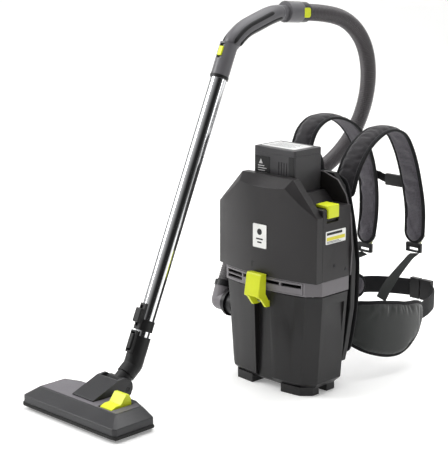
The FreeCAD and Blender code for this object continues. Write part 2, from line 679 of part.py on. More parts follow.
# ---------------------------------------------------------------- floor tool
def make_floor_tool():
    x = size("wand_x")
    half, front, back = size("tool_half"), size("tool_front"), size("tool_back")

    base = new_body("nozzle_base")
    plate = [("wand_x - tool_half + 6", "tool_front + 8"),
             ("wand_x + tool_half - 6", "tool_front + 8"),
             ("wand_x + tool_half - 6", "tool_back - 16"),
             ("wand_x + tool_half - 60", "tool_back - 4"),
             ("wand_x - tool_half + 60", "tool_back - 4"),
             ("wand_x - tool_half + 6", "tool_back - 16")]
    extrude(base, "XY", "4", "9", plate)
    for low, high in ((22, 30), (46, 66), (84, 92)):
        extrude(base, "XY", "3", "10",
                rectangle("wand_x - tool_half + 16", f"tool_front + {low}",
                          "wand_x + tool_half - 16", f"tool_front + {high}"), cut=True)
    for side in SIDES.values():
        middle = f"wand_x + {side} * (tool_half - 100)"
        extrude(base, "XY", "3", "10", rectangle(f"{middle} - 8", "tool_back - 37",
                                                 f"{middle} + 8", "tool_back + 1"), cut=True)
        for end in (-1, 1):
            low = f"{middle} + {end} * 9.5 - 2.5"
            extrude(base, "YZ", low, f"{low} + 5", rectangle("tool_back - 30", "8",
                                                             "tool_back - 14", "18"))
        extrude(base, "YZ", f"{middle} - 12", f"{middle} + 12",
                {"centre": ("tool_back - 22", "wheel_radius"), "radius": "2.5"})

    cover = new_body("nozzle_cover")
    low = [("wand_x - tool_half", "tool_front + 6"),
           ("wand_x - tool_half + 8", "tool_front"),
           ("wand_x + tool_half - 8", "tool_front"),
           ("wand_x + tool_half", "tool_front + 6"),
           ("wand_x + tool_half", "tool_back - 22"),
           ("wand_x + tool_half - 50", "tool_back"),
           ("wand_x - tool_half + 50", "tool_back"),
           ("wand_x - tool_half", "tool_back - 22")]
    top = [("wand_x - tool_half + 26", "tool_front + 34"),
           ("wand_x - tool_half + 30", "tool_front + 28"),
           ("wand_x + tool_half - 30", "tool_front + 28"),
           ("wand_x + tool_half - 26", "tool_front + 34"),
           ("wand_x + tool_half - 26", "tool_back - 30"),
           ("wand_x + tool_half - 66", "tool_back - 14"),
           ("wand_x - tool_half + 66", "tool_back - 14"),
           ("wand_x - tool_half + 26", "tool_back - 30")]
    extrude(cover, "XY", "9", "32", low)
    loft(cover, ("32", low), ("tool_top", top))
    extrude(cover, "XY", "8", "28",
            rectangle("wand_x - tool_half + 12", "tool_front + 14", "wand_x + tool_half - 12",
                      "tool_back - 26"), cut=True)
    # slot under the hood at the back, pocket for the pedal at the front right
    extrude(cover, "XY", "20", "tool_top + 1",
            rectangle("wand_x - 36", "tool_back - 61.5", "wand_x + 36", "tool_back + 1"),
            cut=True)
    extrude(cover, "XY", "28", "tool_top + 1",
            rectangle("wand_x + 64", "tool_front + 38", "wand_x + 106", "tool_front + 102"),
            cut=True)

    for side in SIDES.values():
        middle = f"wand_x + {side} * (tool_half - 100)"
        extrude(cover, "XY", "8", "28", rectangle(f"{middle} - 12.5", "tool_back - 38",
                                                  f"{middle} + 12.5", "tool_back + 1"),
                cut=True)

    # hood: a ramp fixed in the cover's slot, with two cheeks that hold the elbow's barrel
    hood = new_body("nozzle_hood")
    side_view = [("tool_back - 61.5", "21"), ("tool_back - 61.5", "52.3"),
                 ("tool_back - 88", "52.3"), ("tool_back - 88", "55"), ("tool_back - 14", "83"),
                 ("tool_back + 8", "84"), ("tool_back + 26", "72"), ("tool_back + 26", "44"),
                 ("tool_back + 12", "31"), ("tool_back - 1", "21")]
    extrude(hood, "YZ", "wand_x - 36", "wand_x + 36", side_view)
    extrude(hood, "YZ", "wand_x - 28.5", "wand_x + 28.5",
            [("tool_back - 56", "20"), ("tool_back - 56", "50"), ("tool_back - 14", "76"),
             ("tool_back - 11", "76"), ("tool_back - 11", "90"), ("tool_back + 40", "90"),
             ("tool_back + 40", "20")], cut=True)
    extrude(hood, "YZ", "wand_x - 40", "wand_x + 40",
            {"centre": ("pivot_y", "pivot_z"), "radius": "6"}, cut=True)

    # elbow: a barrel with two trunnions and a pipe that rises to the swivel
    pivot = Vector(x, size("pivot_y"), size("pivot_z"))
    rise = SWIVEL - pivot
    across = Vector(1, 0, 0)
    barrel = Part.makeCylinder(23, 56, pivot - across * 28, across)
    pins = Part.makeCylinder(5.95, 70, pivot - across * 35, across)
    pipe = cylinder_between(pivot, SWIVEL, 20)
    elbow = barrel.fuse([pins, pipe]).cut(
        cylinder_between(pivot + rise * 0.05, SWIVEL + rise * 0.2, 16)).cut(
        cylinder_between(pivot, pivot + Vector(0, -40, -16), 14))
    raw("nozzle_elbow", elbow.removeSplitter())

    # socket: turns on the elbow and carries the foot of the wand
    rise.normalize()
    foot = wand_point(TUBE_FOOT - 56)
    mouth = wand_point(TUBE_FOOT - 16)
    lean_way = WAND.multVec(Vector(0, 0, 1))
    outside = cylinder_between(SWIVEL + rise * 0.4, KNEE, 22).fuse(
        [Part.makeSphere(22, KNEE), cylinder_between(KNEE, mouth, 22.5)])
    inside = cylinder_between(SWIVEL - rise * 2, KNEE, 16).fuse(
        [Part.makeSphere(16, KNEE), cylinder_between(KNEE, foot, 16),
         cylinder_between(foot, mouth + lean_way * 2, size("inner_od") / 2)])
    clip_seat = Part.makeBox(13, 9, 44, Vector(-6.5, -30, 30))
    clip_seat.Placement = Placement(KNEE, WAND)
    spine = Part.makeBox(17, 9, 52, Vector(-8.5, -29.5, 26))
    spine.Placement = Placement(KNEE, WAND)
    below = Part.makeCylinder(60, 30, SWIVEL + rise * 0.4, rise * -1)
    raw("nozzle_socket",
        outside.fuse(spine).cut([inside, clip_seat, below]).removeSplitter())
    clip = Part.makeBox(12, 6.5, 36, Vector(-6, -33, 34))
    clip = clip.makeFillet(1.5, clip.Edges)
    clip.Placement = Placement(KNEE, WAND)
    raw("socket_clip", clip)

    pedal = new_body("brush_pedal")
    extrude(pedal, "YZ", "wand_x + 65.5", "wand_x + 104.5",
            [("tool_front + 41", "42"), ("tool_front + 99", "42"), ("tool_front + 98", "66"),
             ("tool_front + 92", "76"), ("tool_front + 84", "77"), ("tool_front + 68", "57"),
             ("tool_front + 54", "57"), ("tool_front + 41", "52")])
    extrude(pedal, "YZ", "wand_x + 62", "wand_x + 108",
            {"centre": ("tool_front + 70", "46"), "radius": "3"}, cut=True)
    node(primitive("Cylinder", "pedal_pin", ("wand_x + 64.2", "tool_front + 70", "46"), ALONG_X,
                   Radius="2.95", Height="41.6"), "pedal_pin")

    brushes = []
    for low in (23, 85):
        brushes.append(Part.makeBox(2 * half - 36, 6, 17,
                                    Vector(x - half + 18, front + low, 3.2)))
    raw("brush_strips", Part.makeCompound(brushes))

    wheels = []
    for side in SIDES.values():
        centre = Vector(x + side * (half - 100) - 6, back - 22, size("wheel_radius"))
        wheels.append(Part.makeCylinder(size("wheel_radius"), 12, centre, across).cut(
            Part.makeCylinder(2.55, 12, centre, across)))
    raw("floor_wheels", Part.makeCompound(wheels))


# ---------------------------------------------------------------- harness
def ribbon(stations):
    """A band through stations given as (middle, width direction, width, thickness)."""
    places = [Vector(*s[0]) for s in stations]
    wires = []
    for i, (_, across, width, thick) in enumerate(stations):
        run = places[min(i + 1, len(places) - 1)] - places[max(i - 1, 0)]
        across = Vector(*across).normalize()
        proud = run.cross(across).normalize()
        a, b = across * width / 2, proud * thick / 2
        corners = [places[i] + a + b, places[i] - a + b, places[i] - a - b, places[i] + a - b]
        wires.append(Part.makePolygon(corners + [corners[0]]))
    return Part.makeLoft(wires, True, True)


# each padded strap from the top of the back pad, over the shoulder, to its buckle: (y, z)
STRAP_LINES = {
    "right": [(121, 452), (146, 515), (190, 566), (255, 594), (315, 581), (355, 531), (386, 455),
              (406, 374), (407, 290)],
    "left": [(121, 470), (148, 530), (172, 582), (215, 608), (270, 606), (334, 577), (384, 518),
             (415, 432), (422, 345), (410, 262)],
}


# each hip pad from the back frame to its nose: x, y, middle height, height, thickness
HIP_PADS = {
    "right": [(118, 121, 148, 112, 12), (145, 168, 131, 122, 14), (158, 250, 113, 128, 14),
              (150, 325, 121, 92, 14), (134, 370, 126, 52, 12)],
    "left": [(-118, 121, 148, 112, 12), (-145, 168, 131, 122, 14), (-158, 250, 113, 128, 14),
             (-154, 340, 119, 108, 14), (-143, 415, 124, 84, 13), (-128, 466, 126, 56, 12)],
}

# the belt's webbing from each pad's nose to the buckle: x, y, middle height
HIP_WEBBING = {
    "right": [(129.5, 380, 126), (113, 436, 125), (80, 500, 123), (37, 548, 122)],
    "left": [(-123, 476, 126), (-100, 505, 125), (-70, 530, 123), (-37, 549, 122)],
}


def make_harness():
    frame = new_body("back_frame")
    outline = [("-127", "64"), ("127", "64"), ("137", "110"), ("151", "200"), ("153", "308"),
               ("140", "392"), ("117", "486"), ("92", "516"), ("-92", "516"), ("-117", "486"),
               ("-140", "392"), ("-153", "308"), ("-151", "200"), ("-137", "110")]
    extrude(frame, "XZ", "frame_front", "frame_back", outline)
    extrude(frame, "XZ", "frame_front - 1", "frame_back - 5",
            [("-112", "80"), ("112", "80"), ("128", "200"), ("130", "270"), ("-130", "270"),
             ("-128", "200")], cut=True)

    pad = new_body("back_pad")
    extrude(pad, "XZ", "frame_back + 0.3", "pad_back", outline)
    dress(pad, "Fillet", "6", lambda p, e: abs(p.y - size("pad_back")) < 0.1)

    x_axis, z_axis = (1, 0, 0), (0, 0, 1)
    width, thick = size("strap_width"), size("strap_thick")
    adjusters, lower_webbing, hip_pads, hip_webbing = [], [], [], []
    for name, side in SIDES.items():
        x = side * size("strap_x")
        line = STRAP_LINES[name]
        narrowing = [max(0, i - 4) * 0.03 for i in range(len(line))]
        raw("shoulder_strap_" + name,
            ribbon([((x, y, z), x_axis, width * (1 - less), thick)
                    for (y, z), less in zip(line, narrowing)]))

        y, z = line[-1]
        adjusters.append(Part.makeBox(46, 9, 24, Vector(x - 23, y - 4.5, z - 26)).cut(
            Part.makeBox(30, 12, 7, Vector(x - 15, y - 6, z - 21))))
        start = Vector(x + side * 2, y, z - 31)
        end = Vector(side * 130, 214, 208)
        middle = (start + end) * 0.5 + Vector(0, 6, -8)
        lower_webbing.append(ribbon([(tuple(p), x_axis, 25, 2.5)
                                     for p in (start, middle, end)]))
        hip_pads.append(ribbon([((x, y, z), z_axis, height, deep)
                                for x, y, z, height, deep in HIP_PADS[name]]))
        hip_webbing.append(ribbon([((x, y, z), z_axis, 48, 3)
                                   for x, y, z in HIP_WEBBING[name]]))
    raw("strap_adjusters", Part.makeCompound(adjusters))
    raw("strap_webbing", Part.makeCompound(lower_webbing))
    raw("hip_pads", Part.makeCompound(hip_pads))
    raw("hip_webbing", Part.makeCompound(hip_webbing))

    shell = Part.makeBox(34, 14, 56, Vector(1, 545, 94)).cut(
        Part.makeBox(30, 8, 36, Vector(0, 548, 104)))
    raw("hip_buckle_socket", shell)
    prongs = Part.makeBox(31, 14, 56, Vector(-33, 545, 94)).fuse(
        [Part.makeBox(24, 6, 8, Vector(-4, 549, z)) for z in (106, 130)])
    raw("hip_buckle_plug", prongs)

    raw("sternum_webbing", Part.makeCompound([
        ribbon([((62, 411, 440), z_axis, 20, 2.5), ((27, 417, 436), z_axis, 20, 2.5)]),
        ribbon([((-27, 428, 436), z_axis, 20, 2.5), ((-62, 433, 440), z_axis, 20, 2.5)])]))
    buckle = Part.makeBox(53, 10, 30, Vector(-26.5, 417.5, 421))
    raw("sternum_buckle", buckle.makeFillet(2, buckle.Edges))

    loop = new_body("carry_handle")
    extrude(loop, "XZ", "66.5", "90.5",
            [("-48", "517"), ("-44.3", "546.5"), ("-19", "562"), ("19", "562"),
             ("44.3", "546.5"), ("48", "517"), ("44", "517"), ("40.4", "543.8"),
             ("17.8", "558"), ("-17.8", "558"), ("-40.4", "543.8"), ("-44", "517")])


def finish():
    """Stops on any failed object, then writes each piece as its own STEP file."""
    doc.recompute()
    for item in doc.Objects:
        if "Invalid" in item.State or "Error" in item.State:
            raise RuntimeError(f"{item.Label} failed: {item.State}")
    os.makedirs("parts", exist_ok=True)
    for old in os.listdir("parts"):
        os.remove(os.path.join("parts", old))
    for item in NODES:
        shape = item.Shape
        if shape.isNull() or not shape.isValid() or not shape.Solids:
            raise RuntimeError(f"{item.Label} has no valid solid")
        if min(s.Volume for s in shape.Solids) <= 0:
            raise RuntimeError(f"{item.Label} has a solid with no volume")
        shape.exportStep(f"parts/{item.Label}.step")
    print(len(NODES), "pieces written")


make_dust_container()
make_container_fittings()
make_latch()
make_head_shells()
make_head_insides()
make_battery()
make_release_lever()
cuff_end, cuff_way = make_hose()
make_wand(cuff_end, cuff_way)
make_floor_tool()
make_harness()
finish()
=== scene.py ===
# %% [markdown]
# # A battery backpack vacuum cleaner
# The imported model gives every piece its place. This lesson gives each piece its real surface: moulded
# shells, a corrugated hose, sewn harness pads, woven tape and a chromed tube.
# Lengths are written in millimetres and turned into metres when a mesh is made.

# %% Load the frame
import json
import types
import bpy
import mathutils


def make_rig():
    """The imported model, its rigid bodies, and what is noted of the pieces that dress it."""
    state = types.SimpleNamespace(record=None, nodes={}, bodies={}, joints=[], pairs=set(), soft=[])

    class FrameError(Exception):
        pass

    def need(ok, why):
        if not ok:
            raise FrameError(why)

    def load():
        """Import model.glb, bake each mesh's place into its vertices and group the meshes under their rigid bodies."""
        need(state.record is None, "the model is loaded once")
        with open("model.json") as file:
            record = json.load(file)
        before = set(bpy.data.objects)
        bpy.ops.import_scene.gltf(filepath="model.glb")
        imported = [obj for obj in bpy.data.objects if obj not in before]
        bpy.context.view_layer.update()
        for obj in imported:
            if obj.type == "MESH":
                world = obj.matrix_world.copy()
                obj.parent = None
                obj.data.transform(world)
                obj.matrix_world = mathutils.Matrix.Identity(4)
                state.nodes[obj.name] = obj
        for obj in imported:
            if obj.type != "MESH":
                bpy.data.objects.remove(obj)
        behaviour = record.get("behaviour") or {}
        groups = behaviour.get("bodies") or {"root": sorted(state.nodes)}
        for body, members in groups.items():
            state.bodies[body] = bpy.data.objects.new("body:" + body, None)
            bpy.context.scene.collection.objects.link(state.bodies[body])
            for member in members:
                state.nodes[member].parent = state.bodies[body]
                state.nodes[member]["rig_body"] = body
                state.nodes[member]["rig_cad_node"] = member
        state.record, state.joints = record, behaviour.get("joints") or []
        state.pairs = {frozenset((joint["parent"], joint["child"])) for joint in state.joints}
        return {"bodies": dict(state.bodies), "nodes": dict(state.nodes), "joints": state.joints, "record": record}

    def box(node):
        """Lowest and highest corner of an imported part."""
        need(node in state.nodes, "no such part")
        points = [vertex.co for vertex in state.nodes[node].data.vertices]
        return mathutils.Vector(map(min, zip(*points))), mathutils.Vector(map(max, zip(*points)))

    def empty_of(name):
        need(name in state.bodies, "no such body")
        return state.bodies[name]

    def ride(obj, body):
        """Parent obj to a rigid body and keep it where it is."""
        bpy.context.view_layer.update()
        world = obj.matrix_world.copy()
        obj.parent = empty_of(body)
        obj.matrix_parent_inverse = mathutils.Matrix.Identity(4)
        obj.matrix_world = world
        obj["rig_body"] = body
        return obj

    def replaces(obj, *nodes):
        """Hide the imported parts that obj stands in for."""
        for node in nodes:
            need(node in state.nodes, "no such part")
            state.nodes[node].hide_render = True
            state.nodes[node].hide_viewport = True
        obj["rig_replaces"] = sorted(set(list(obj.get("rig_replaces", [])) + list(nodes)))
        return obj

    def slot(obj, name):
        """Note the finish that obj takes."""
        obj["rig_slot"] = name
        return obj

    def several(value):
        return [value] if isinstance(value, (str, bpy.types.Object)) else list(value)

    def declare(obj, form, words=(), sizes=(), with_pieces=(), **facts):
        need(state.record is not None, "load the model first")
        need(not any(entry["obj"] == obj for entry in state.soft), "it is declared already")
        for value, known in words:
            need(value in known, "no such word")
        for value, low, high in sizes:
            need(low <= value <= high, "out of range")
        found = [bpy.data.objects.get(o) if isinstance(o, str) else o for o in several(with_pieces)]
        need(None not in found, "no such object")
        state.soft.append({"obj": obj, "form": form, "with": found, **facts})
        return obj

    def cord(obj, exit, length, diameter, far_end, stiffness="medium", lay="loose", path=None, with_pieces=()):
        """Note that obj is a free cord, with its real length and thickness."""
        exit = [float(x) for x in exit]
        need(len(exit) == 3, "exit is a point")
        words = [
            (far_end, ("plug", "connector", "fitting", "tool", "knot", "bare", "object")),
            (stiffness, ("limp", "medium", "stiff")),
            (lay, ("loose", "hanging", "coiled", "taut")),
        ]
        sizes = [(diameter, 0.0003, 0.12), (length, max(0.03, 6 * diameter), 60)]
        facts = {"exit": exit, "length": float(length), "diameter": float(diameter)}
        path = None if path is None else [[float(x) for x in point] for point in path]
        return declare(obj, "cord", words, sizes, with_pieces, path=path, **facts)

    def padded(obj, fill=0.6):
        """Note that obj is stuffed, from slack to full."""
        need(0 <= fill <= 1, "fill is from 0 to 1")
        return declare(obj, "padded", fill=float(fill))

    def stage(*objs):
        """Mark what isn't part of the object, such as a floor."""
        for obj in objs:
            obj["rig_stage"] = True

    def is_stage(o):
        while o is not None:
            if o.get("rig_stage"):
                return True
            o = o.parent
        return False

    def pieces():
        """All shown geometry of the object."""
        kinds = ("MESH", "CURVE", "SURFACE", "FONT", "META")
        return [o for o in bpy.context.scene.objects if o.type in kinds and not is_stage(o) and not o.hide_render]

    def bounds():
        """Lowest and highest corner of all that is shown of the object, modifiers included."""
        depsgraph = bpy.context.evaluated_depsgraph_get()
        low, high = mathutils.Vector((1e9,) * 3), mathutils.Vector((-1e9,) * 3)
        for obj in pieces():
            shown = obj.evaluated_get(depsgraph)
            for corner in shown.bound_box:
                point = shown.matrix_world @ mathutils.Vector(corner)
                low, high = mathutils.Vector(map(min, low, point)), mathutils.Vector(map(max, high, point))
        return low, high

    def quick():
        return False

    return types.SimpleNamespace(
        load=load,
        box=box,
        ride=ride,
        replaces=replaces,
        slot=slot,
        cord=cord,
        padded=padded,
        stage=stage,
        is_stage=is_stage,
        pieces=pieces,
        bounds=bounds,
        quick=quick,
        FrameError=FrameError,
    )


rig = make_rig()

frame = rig.load()

import json
import math
import bmesh
import bpy
import numpy as np
from mathutils import Vector

cad_box = [list(corner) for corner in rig.bounds()]
MM = 0.001
print("bodies:", len(frame["bodies"]), "nodes:", len(frame["nodes"]))

# %% [markdown]
# ## Camera
# A long lens stands about three and a half metres away, to the right of the machine's front and a little
# above it, so upright edges stay almost parallel.

# %% Camera
CAMERA_PLACE = Vector((2.1727, -2.4094, 1.1361))
CAMERA_TURN = 44.5
CAMERA_DOWN = 13.0

camera_data = bpy.data.cameras.new("camera")
camera_data.lens = 113.0
camera_data.clip_end = 60.0
camera = bpy.data.objects.new("camera", camera_data)
camera.location = CAMERA_PLACE
camera.rotation_euler = (math.radians(90 - CAMERA_DOWN), 0, math.radians(CAMERA_TURN))
bpy.context.scene.collection.objects.link(camera)
bpy.context.scene.camera = camera
print(f"camera: {CAMERA_PLACE.xy.length:.2f} m away, {camera_data.lens:.0f} mm lens")

# %% [markdown]
# ## Floor and light
# The floor is one pale sheet that curves up far behind the object, so no horizon shows. Large soft lamps
# give long even highlights: a key on the left, a wide one overhead, a fill on the right and a strip behind.

# %% Small tools for nodes and colours


def linear(hex_colour):
    """Linear RGBA of an sRGB hex colour: each part over 255, then the sRGB curve undone."""
    parts = np.array([int(hex_colour[i:i + 2], 16) for i in (1, 3, 5)]) / 255
    curve = np.where(parts <= 0.04045, parts / 12.92, ((parts + 0.055) / 1.055) ** 2.4)
    return (*curve.tolist(), 1.0)


def add_node(tree, kind, inputs=None, **settings):
    """Adds a node, sets its settings, and gives each input a value or a link from another socket."""
    made = tree.nodes.new(kind)
    for name, value in settings.items():
        setattr(made, name, value)
    for name, value in (inputs or {}).items():
        if isinstance(value, bpy.types.NodeSocket):
            tree.links.new(value, made.inputs[name])
        else:
            made.inputs[name].default_value = value
    return made


def new_material(name, colour, roughness, **sockets):
    """A material with one shader. Returns the material, its tree and the shader."""
    made = bpy.data.materials.new(name)
    made.use_nodes = True
    tree = made.node_tree
    tree.nodes.clear()
    shader = add_node(tree, "ShaderNodeBsdfPrincipled",
                      {"Base Color": linear(colour), "Roughness": roughness, **sockets})
    output = add_node(tree, "ShaderNodeOutputMaterial")
    tree.links.new(shader.outputs["BSDF"], output.inputs["Surface"])
    return made, tree, shader


def finish_shader(tree, shader, colour, tone, bump):
    """The colour is multiplied by the tone, and the bump turns the surface's normal."""
    shade = add_node(tree, "ShaderNodeMix", {"Factor": 1.0, "A": linear(colour)},
                     data_type="RGBA", blend_type="MULTIPLY")
    tree.links.new(tone.outputs["Result"], shade.inputs["B"])
    tree.links.new(shade.outputs["Result"], shader.inputs["Base Color"])
    tree.links.new(bump.outputs["Normal"], shader.inputs["Normal"])


def per_metre(millimetres):
    """How many times a pattern of this size repeats in a metre, which is a texture's scale."""
    return 1000.0 / millimetres


# %% Floor
def grid_faces(rows, columns, closed=False):
    """Quads of a grid stored row by row: each joins a point, the next one along, and the two beyond.
    With closed=True the last column joins the first."""
    across = columns if closed else columns - 1
    row, column = np.meshgrid(np.arange(rows - 1), np.arange(across), indexing="ij")
    ahead = (column + 1) % columns
    quads = [row * columns + column, row * columns + ahead,
             (row + 1) * columns + ahead, (row + 1) * columns + column]
    return np.stack(quads, axis=-1).reshape(-1, 4)


def surface_object(name, points, faces, smooth_angle=40):
    """A mesh object from points in metres and lists of corners, shaded smooth up to an angle."""
    mesh = bpy.data.meshes.new(name)
    mesh.from_pydata(np.asarray(points).reshape(-1, 3).tolist(), [], [list(f) for f in faces])
    mesh.polygons.foreach_set("use_smooth", np.ones(len(mesh.polygons), bool))
    mesh.set_sharp_from_angle(angle=math.radians(smooth_angle))
    made = bpy.data.objects.new(name, mesh)
    bpy.context.scene.collection.objects.link(made)
    return made


FLOOR_HALF = 14.0
BEND = 1.5


def floor_sheet():
    """Flat from the front to a bend, then a quarter circle of radius BEND, then straight up.
    The sheet faces the camera, so its length runs along the camera's own direction over the ground."""
    turn = math.radians(CAMERA_TURN)
    ahead = np.array([-math.sin(turn), math.cos(turn), 0])
    side = np.array([math.cos(turn), math.sin(turn), 0])
    angle = np.linspace(0, math.pi / 2, 24)
    along = np.concatenate([[-FLOOR_HALF], 3.2 + BEND * np.sin(angle), [3.2 + BEND]])
    height = np.concatenate([[0], BEND * (1 - np.cos(angle)), [7.0]])
    across = np.linspace(-FLOOR_HALF, FLOOR_HALF, 2)
    points = (along[:, None, None] * ahead + across[None, :, None] * side
              + height[:, None, None] * np.array([0, 0, 1.0]))
    return surface_object("floor", points, grid_faces(len(along), 2))


floor = floor_sheet()
paper, tree, shader = new_material("studio_paper", "#f4f4f3", 0.9,
                                   **{"Emission Color": linear("#ffffff"), "Emission Strength": 0.22})
# The sheet can't be seen from its back, so a view from behind the machine isn't blocked by it.
clear = add_node(tree, "ShaderNodeBsdfTransparent")
one_sided = add_node(tree, "ShaderNodeMixShader", {
    0: add_node(tree, "ShaderNodeNewGeometry").outputs["Backfacing"],
    1: shader.outputs["BSDF"], 2: clear.outputs["BSDF"]})
tree.links.new(one_sided.outputs["Shader"], tree.nodes["Material Output"].inputs["Surface"])
floor.data.materials.append(paper)
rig.stage(floor)
print("floor sheet:", len(floor.data.polygons), "faces")


# %% Lamps
def soft_lamp(name, place, aim, width, height, watts, colour="#ffffff"):
    """A rectangular lamp at a place, turned so that it faces its aim."""
    data = bpy.data.lights.new(name, "AREA")
    data.shape = "RECTANGLE"
    data.size, data.size_y, data.energy = width, height, watts
    data.color = linear(colour)[:3]
    made = bpy.data.objects.new(name, data)
    made.location = place
    made.rotation_euler = (Vector(aim) - Vector(place)).to_track_quat("-Z", "Y").to_euler()
    bpy.context.scene.collection.objects.link(made)


soft_lamp("key", (-2.6, -2.2, 2.4), (0, 0, 0.3), 1.6, 2.2, 110)
soft_lamp("overhead", (-0.1, 0.5, 3.2), (0, 0, 0), 2.6, 2.6, 85)
soft_lamp("fill", (3.2, 1.4, 1.6), (0, 0.1, 0.3), 0.6, 2.4, 14)
soft_lamp("rim", (-0.6, 3.4, 1.8), (0, 0.2, 0.4), 2.4, 1.6, 34)

world = bpy.data.worlds.new("studio")
world.use_nodes = True
# The room behind the camera is dark, which draws the dark streak down the chromed tube.
facing = add_node(world.node_tree, "ShaderNodeTexCoord").outputs["Generated"]
DARK_TURN = math.radians(CAMERA_TURN + 14)
behind = add_node(world.node_tree, "ShaderNodeVectorMath", {
    0: facing, 1: (math.sin(DARK_TURN), -math.cos(DARK_TURN), 0)}, operation="DOT_PRODUCT")
shade = add_node(world.node_tree, "ShaderNodeMapRange", {
    "Value": behind.outputs["Value"], "From Min": 0.2, "From Max": 0.9, "To Min": 0.62,
    "To Max": 0.02})
background = world.node_tree.nodes["Background"]
background.inputs["Color"].default_value = linear("#ffffff")
world.node_tree.links.new(shade.outputs["Result"], background.inputs["Strength"])
bpy.context.scene.world = world
bpy.context.scene.view_settings.view_transform = "Standard"
print("lamps:", len(bpy.data.lights))

# %% [markdown]
# ## Moulded plastics
# Most of the machine is injection-moulded ABS or polypropylene with a spark-eroded grain. The real grain
# is about 0.1 mm and would not show at this distance, so it is drawn at about 1 mm. Handling polishes the
# plastic unevenly, so a slow noise about 60 mm across varies the gloss a little.


# %% Moulded plastic
def moulded(name, colour, roughness, grain=1.1, relief=0.12, gloss_change=0.07, gleam=0.3,
            **sockets):
    """Grain: noise of the given size in mm, as bump. Gloss: roughness moved by a slow noise.
    Colour: darkened or lightened by up to a few percent by the same slow noise."""
    made, tree, shader = new_material(name, colour, roughness,
                                      **{"Specular IOR Level": gleam, **sockets})
    place = add_node(tree, "ShaderNodeTexCoord").outputs["Object"]
    fine = add_node(tree, "ShaderNodeTexNoise", {"Vector": place, "Scale": per_metre(grain),
                                                 "Detail": 3.0, "Roughness": 0.6})
    slow = add_node(tree, "ShaderNodeTexNoise", {"Vector": place, "Scale": per_metre(60),
                                                 "Detail": 4.0})
    bump = add_node(tree, "ShaderNodeBump", {"Height": fine.outputs["Fac"], "Strength": relief,
                                             "Distance": 0.0006})
    gloss = add_node(tree, "ShaderNodeMapRange", {
        "Value": slow.outputs["Fac"], "From Min": 0.3, "From Max": 0.7,
        "To Min": roughness - gloss_change, "To Max": roughness + gloss_change})
    tone = add_node(tree, "ShaderNodeMapRange", {
        "Value": slow.outputs["Fac"], "From Min": 0.3, "From Max": 0.7,
        "To Min": 0.93, "To Max": 1.07})
    tree.links.new(gloss.outputs["Result"], shader.inputs["Roughness"])
    finish_shader(tree, shader, colour, tone, bump)
    return made


charcoal_abs = moulded("moulded_abs_charcoal", "#252324", 0.38)
graphite_pp = moulded("moulded_polypropylene_graphite", "#1c1b1c", 0.36)
black_nylon = moulded("moulded_nylon_black", "#151516", 0.42, grain=0.9)
# Warm grey is the vent ring's, the grille's and the hose elbow's own colour, and also a painted highlight along the
# rear shell's rim.
warm_grey_abs_and_painted_highlight = moulded("moulded_abs_warm_grey_and_painted_highlight", "#6f6c6f", 0.44)
lime_abs = moulded("moulded_abs_lime", "#d3dc28", 0.36, relief=0.05, gloss_change=0.04)
battery_pc = moulded("moulded_polycarbonate_grey", "#3d3c3e", 0.38)
grip_abs = moulded("moulded_abs_grip_grey", "#5f5e61", 0.36, relief=0.08)
tool_pp = moulded("moulded_polypropylene_tool_grey", "#303032", 0.38)
tool_light = moulded("moulded_polypropylene_light_grey", "#5f5c61", 0.36)
print("plastics:", len([m for m in bpy.data.materials if m.name.startswith("moulded")]))

# %% [markdown]
# ## Metals, films and inner pieces
# The wand is drawn steel tube with a polished chrome plate: it mirrors the studio, with very faint lines
# along the tube left by drawing. Screws and pins are zinc-plated steel. Labels are a printed film.


# %% Metals and films
def chromed_steel():
    """Polished chrome: faint streaks, 1.5 mm wide and 300 mm long, change the roughness a little."""
    made, tree, shader = new_material("chromed_steel_polished", "#e9eaec", 0.07, Metallic=1.0,
                                      **{"Specular Tint": linear("#4a4b50")})
    place = add_node(tree, "ShaderNodeTexCoord").outputs["Object"]
    lean = add_node(tree, "ShaderNodeMapping", {
        "Vector": place, "Rotation": (math.radians(23.9), 0, 0),
        "Scale": (per_metre(1.5), per_metre(1.5), per_metre(300))})
    streaks = add_node(tree, "ShaderNodeTexNoise", {"Vector": lean.outputs["Vector"],
                                                    "Scale": 1.0, "Detail": 2.0})
    gloss = add_node(tree, "ShaderNodeMapRange", {"Value": streaks.outputs["Fac"],
                                                  "To Min": 0.04, "To Max": 0.14})
    tree.links.new(gloss.outputs["Result"], shader.inputs["Roughness"])
    return made


def turned_metal(name, colour, roughness):
    """Turned metal: fine rings about a vertical axis, 0.8 mm apart, as bump and as a change of gloss."""
    made, tree, shader = new_material(name, colour, roughness, Metallic=1.0)
    place = add_node(tree, "ShaderNodeTexCoord").outputs["Object"]
    rings = add_node(tree, "ShaderNodeTexWave", {"Vector": place, "Scale": per_metre(0.8) / 20,
                                                 "Distortion": 0.4}, wave_type="RINGS")
    gloss = add_node(tree, "ShaderNodeMapRange", {"Value": rings.outputs["Fac"],
                                                  "To Min": roughness - 0.08,
                                                  "To Max": roughness + 0.08})
    bump = add_node(tree, "ShaderNodeBump", {"Height": rings.outputs["Fac"], "Strength": 0.15,
                                             "Distance": 0.0004})
    tree.links.new(gloss.outputs["Result"], shader.inputs["Roughness"])
    tree.links.new(bump.outputs["Normal"], shader.inputs["Normal"])
    return made


